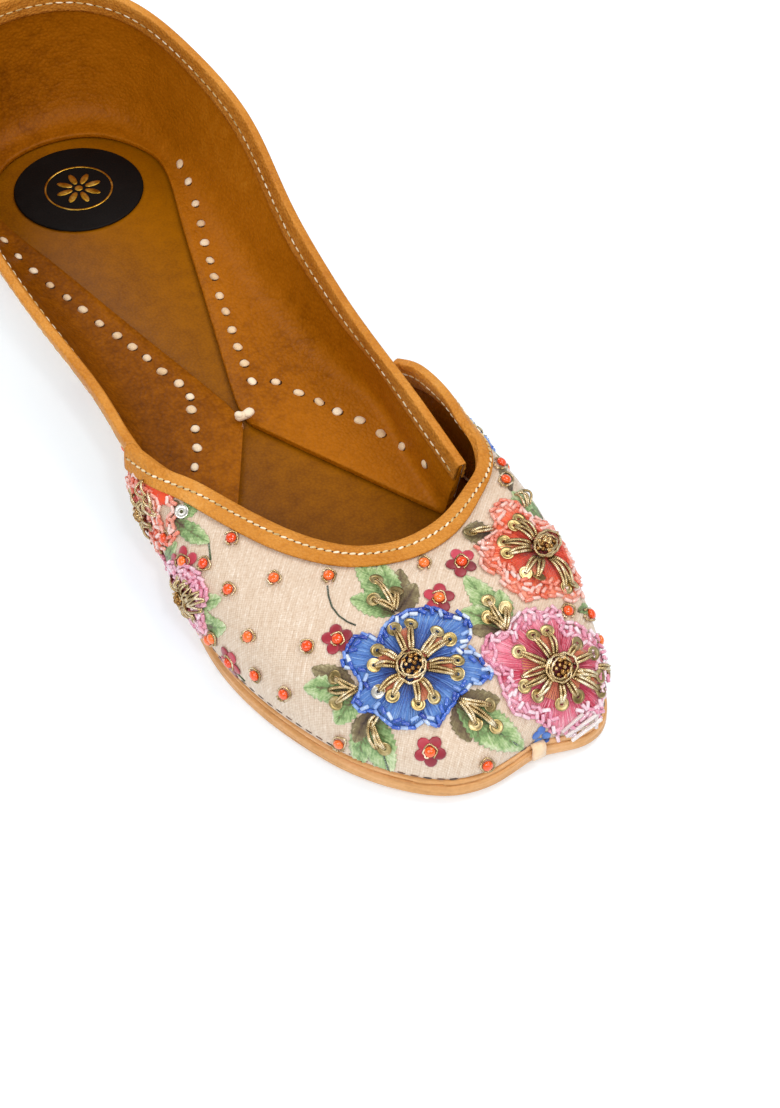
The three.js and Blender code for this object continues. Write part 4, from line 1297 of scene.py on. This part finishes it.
def leaf_piece(name, chosen, material):
    """Several leaves as one thin piece, each fourth one at the same height so that they pass over each other."""
    work = bmesh.new()
    work.verts.layers.float.new("shade")
    work.loops.layers.uv.new("threads")
    for k, (root, tip, width) in enumerate(chosen):
        leaf_blade(work, root, tip, width, k % 4)
    work.normal_update()
    wrong = [face for face in work.faces if face.normal.dot(looking["back"]) < 0]
    bmesh.ops.reverse_faces(work, faces=wrong)
    thicken(place_piece(name, finished(work, name), material), 0.1 * mm)


leaf_piece("green_leaves", green_leaves, leaf_print)
leaf_piece("dark_leaves", dark_leaves, dark_leaf_print)

# Small crimson flowers round a stone, and single stones in rings of wire.
small_flowers = [(430, 751), (461.3, 563), (438.8, 598.8), (337.5, 640), (184, 561.7)]
lone_stones = [
    (231.7, 539.2), (204.7, 564.2), (229.2, 590), (274.2, 579.2), (328.8, 576.9), (249.2, 636.7), (307.5, 646.7),
    (285, 693.3), (210, 639.2), (157.5, 552.5), (340, 742.5), (486.3, 764.2), (423.8, 564.4),
    (567, 612), (589, 615), (601, 640), (166, 538), (500, 464), (505, 481),
]


def small_petals(name, middles):
    """Five padded petals round each of some pixels."""
    places = []
    ring_px = 9.0
    for middle in middles:
        hold_at(*middle)
        offset = chance.uniform(0, 72)
        for degrees in (offset + 72 * k for k in range(5)):
            places.append((sewn(polar_px(middle, degrees, ring_px), degrees, 0.3), chance.uniform(0.2, 0.9)))
    set_out(name, small_petal, places, crimson_satin)


def wired_stones(stones_name, loops_name, spots):
    """Stones, each with two arcs of wire round it that stay open where it is sewn down."""
    stones, loops = [], []
    for spot in spots:
        hold_at(*spot)
        stones.append((sewn(spot, chance.uniform(0, 360), 0.7), chance.random()))
        for radius, first, last in ((6.8, -75, 150), (6.4, 175, 262)):
            first += chance.uniform(-25, 25)
            run = []
            for step in range(10):
                away = radius * (1 + 0.1 * math.sin(step * 1.7 + spot[0]))
                at_px = polar_px(spot, first + (last - first) * step / 9, away)
                run.append((on_cloth(*at_px, 0.55)[0], 0.5, 1.0))
            loops.append(run)
    set_out(stones_name, stone_shape, stones, orange_stone)
    strands(loops_name, loops, 0.5 * mm, gold_wire)


small_petals("crimson_small_petals", small_flowers)
wired_stones("orange_stones", "stone_wire_loops", lone_stones + small_flowers)

# Long clear beads over the pink flower's front edge.
long_places = []
px_per_mm = 4.15
hold_at(570, 725)
for start, end in [
    ((565, 733), (592, 712)), ((570, 737), (597, 716)), ((561, 729), (580, 712)), ((597, 714), (599, 730)),
]:
    length = Matrix.Diagonal((math.dist(start, end) / px_per_mm / long_bugle_mm, 1, 1, 1))
    lying = sewn(between_px(start, end, 0.5), heading_px(start, end), 1.3) @ length
    long_places.append((lying, chance.random()))
set_out("clear_long_beads", long_bugle, long_places, clear_glass)


def drawn_line(spots, lift, shade):
    """A thread laid through some pixels."""
    hold_at(*spots[0])
    return [(on_cloth(x, y, lift)[0], shade, 1.0) for x, y in spots]


stems = [
    drawn_line([(327.5, 586), (328.5, 596), (332, 607), (339, 616), (347.5, 622), (356, 625.5)], 0.12, 0.15),
    drawn_line([(225, 652), (229, 661), (235, 671), (243, 683)], 0.12, 0.3),
    drawn_line([(209, 543), (210, 552), (211, 560)], 0.12, 0.3),
    drawn_line([(455, 700), (474, 714), (496, 731), (516, 744)], 0.5, 0.3),
    drawn_line([(372, 716), (378, 735), (384, 752), (389, 768)], 0.5, 0.3),
]
green_thread = thread("green_thread", [(0.1, "#26301a"), (0.5, "#4c6a2f"), (1.0, "#86a860")])
strands("green_stems", stems, 0.42 * mm, green_thread, sides=4)

hold_at(541, 736)
blue_spots = [(536, 735, 60), (541, 730, 90), (546, 735, 120), (538, 741, 20), (545, 741, 160)]
small_blue = [(sewn((x, y), degrees, 0.2, size=0.72), 0.6) for x, y, degrees in blue_spots]
set_out("small_blue_petals", small_petal, small_blue, blue_satin)
hold_at(228, 668)
small_red = [(sewn(spot, -45, 0.1), 0.4) for spot in ((222, 662), (228, 668), (233, 674))]
set_out("small_red_petals", small_petal, small_red, crimson_satin)


def bead_row(spots, rows, pitch_px):
    """Beads along a line of pixels, side by side in rows, each turned a little."""
    places = []
    row_px = 4.2
    for start, end in zip(spots, spots[1:]):
        hold_at(*start)
        heading, long = heading_px(start, end), math.dist(start, end)
        for step in range(max(round(long / pitch_px), 1)):
            for row in range(rows):
                off = (row - (rows - 1) / 2) * row_px + chance.uniform(-0.8, 0.8)
                spot = polar_px(between_px(start, end, step * pitch_px / long), heading + 90, off)
                turned, lift = heading + chance.uniform(-50, 50), chance.uniform(0.4, 1.0)
                places.append((sewn(spot, turned, lift), chance.random()))
    return places


# What the camera sees of the two flowers on the lateral side, where they fold over the edge of the vamp.
coral_line = [(171, 500), (177, 512), (171, 522), (176, 533), (168, 546), (159, 541), (155, 528), (160, 512)]
pink_line = [(155, 556), (163, 566), (172, 575), (178, 585), (182, 598), (188, 612), (196, 626), (204, 640)]
coral_edge = bead_row(coral_line, 2, 6)
pink_edge = bead_row(pink_line, 3, 5.5)
set_out("coral_edge_over_side", bugle, coral_edge, coral_glass)
set_out("pink_edge_over_side", bugle, pink_edge, pink_glass)
red_pads = []
for x, y, degrees, size in ((158, 490, -25, 1.5), (166, 496, -30, 1.5), (152, 484, -20, 1.3), (160, 499, -10, 1.2)):
    hold_at(x, y)
    red_pads.append((sewn((x, y), degrees, 0.3, size=size), 0.35))
set_out("coral_pads_over_side", small_petal, red_pads, coral_satin)
side_wires = []
for start, end in [
    ((208, 600), (191, 604)), ((204, 592), (190, 603)), ((206, 610), (191, 606)), ((196, 587), (189, 602)),
    ((146, 480), (150, 497)), ((156, 507), (151, 493)), ((150, 514), (149, 497)), ((160, 516), (153, 500)),
    ((514, 497), (524, 510)), ((519, 494), (526, 508)),
]:
    side_wires += doubled_wire(start, end, 1.7, 1.2)
strands("wires_over_side", side_wires, 0.62 * mm, gold_wire)


def sprig(name, view, blades, blooms, stones):
    """Leaves, small flowers and stones where only another standpoint than the camera's sees them."""
    looking.update(view)
    if blades:
        leaf_piece(name + "_leaves", blades, leaf_print)
    small_petals(name + "_petals", blooms)
    wired_stones(name + "_stones", name + "_wire_loops", blooms + stones)
    looking.update(camera_view)


# Beyond the camera's sight: on the vamp's sides and round the quarter.
sprig(
    "lateral_sprig",
    lateral_view,
    [((335, 560), (352, 520), 18), ((425, 560), (458, 538), 18), ((240, 545), (212, 560), 16)],
    [(472, 570)],
    [(338, 576), (445, 562), (508, 556), (228, 562)],
)
sprig(
    "medial_sprig",
    medial_view,
    [((478, 560), (512, 538), 20), ((478, 570), (512, 588), 18), ((402, 545), (380, 520), 18)],
    [(350, 566), (517, 562)],
    [(392, 578), (500, 522), (316, 574), (388, 548)],
)
for name, view, rows in [
    ("quarter_medial", heel_views[0], [(x, 571 + 20 * (k % 2)) for k, x in enumerate(range(250, 640, 48))]),
    ("quarter_lateral", heel_views[1], [(x, 573 + 19 * (k % 2)) for k, x in enumerate(range(150, 540, 48))]),
    ("quarter_back", heel_views[2], [(330, 575), (390, 520), (450, 575)]),
]:
    sprig(name, view, [], rows[1::4], rows[0::4] + rows[2::4] + rows[3::4])

# Waxed thread that shows in dashes between the vamp and the sole.
sole_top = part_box("midsole")[1].z + 0.3 * mm
welt_line = []
for degrees in range(150, 401, 4):
    away = Vector((math.cos(math.radians(degrees)), math.sin(math.radians(degrees)), 0))
    hit, facing, face, far = vamp_tree.ray_cast(Vector((4 * mm, -70 * mm, sole_top)) + away * 0.1, -away)
    if hit is not None and facing.dot(away) > 0.3:
        welt_line.append(hit / mm)
welt = []
for place, way in smooth_line(welt_line, 2.9):
    near, facing, face, far = vamp_tree.find_nearest(place * mm)
    welt.append((standing(near, way, facing), chance.uniform(0.1, 0.7)))
waxed = thread("waxed_thread", [(0.1, "#2b1609"), (0.5, "#5a3315"), (1.0, "#8f6136")], rough=0.6)
set_out("welt_stitches", stitch_shape("welt_stitch", 1.9 * mm, 0.5 * mm, 0.4 * mm), welt, waxed)

# The same seam of the back's binding, seen from outside.
seam("quarter_binding_outer_seam", *on_quarter, 2.8, seam_stitch, side=-1)

# The label carries a plain gold ring round a small eight-petalled rosette.
gold_foil = metal("gold_foil", [(0.3, "#a87a1e"), (0.5, "#d2a138"), (0.7, "#e8c568")], 0.38)
label_low, label_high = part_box("heel_label")
label_top = Vector((*(label_low + label_high).xy / 2, label_high.z))
ring_cut = [(8.6, -0.05), (8.6, 0.06), (9.1, 0.06), (9.1, -0.05), (8.6, -0.05)]
foil_ring = spun_shape("foil_ring", [(radius * mm, height * mm) for radius, height in ring_cut], 72)
rosette_petal = round_shape("rosette_petal", 4.6 * mm, 1.9 * mm, 0.22 * mm, 2)
on_label, outward = Matrix.Translation(label_top), Matrix.Translation((4.0 * mm, 0, 0))
set_out("label_gold_ring", foil_ring, [(on_label, 0.5)], gold_foil)
rosette = [(on_label @ Matrix.Rotation(math.tau * k / 8, 4, "Z") @ outward, 0.5) for k in range(8)]
rosette.append((on_label @ Matrix.Diagonal((0.5, 1.2, 1, 1)), 0.5))
set_out("label_gold_rosette", rosette_petal, rosette, gold_foil)
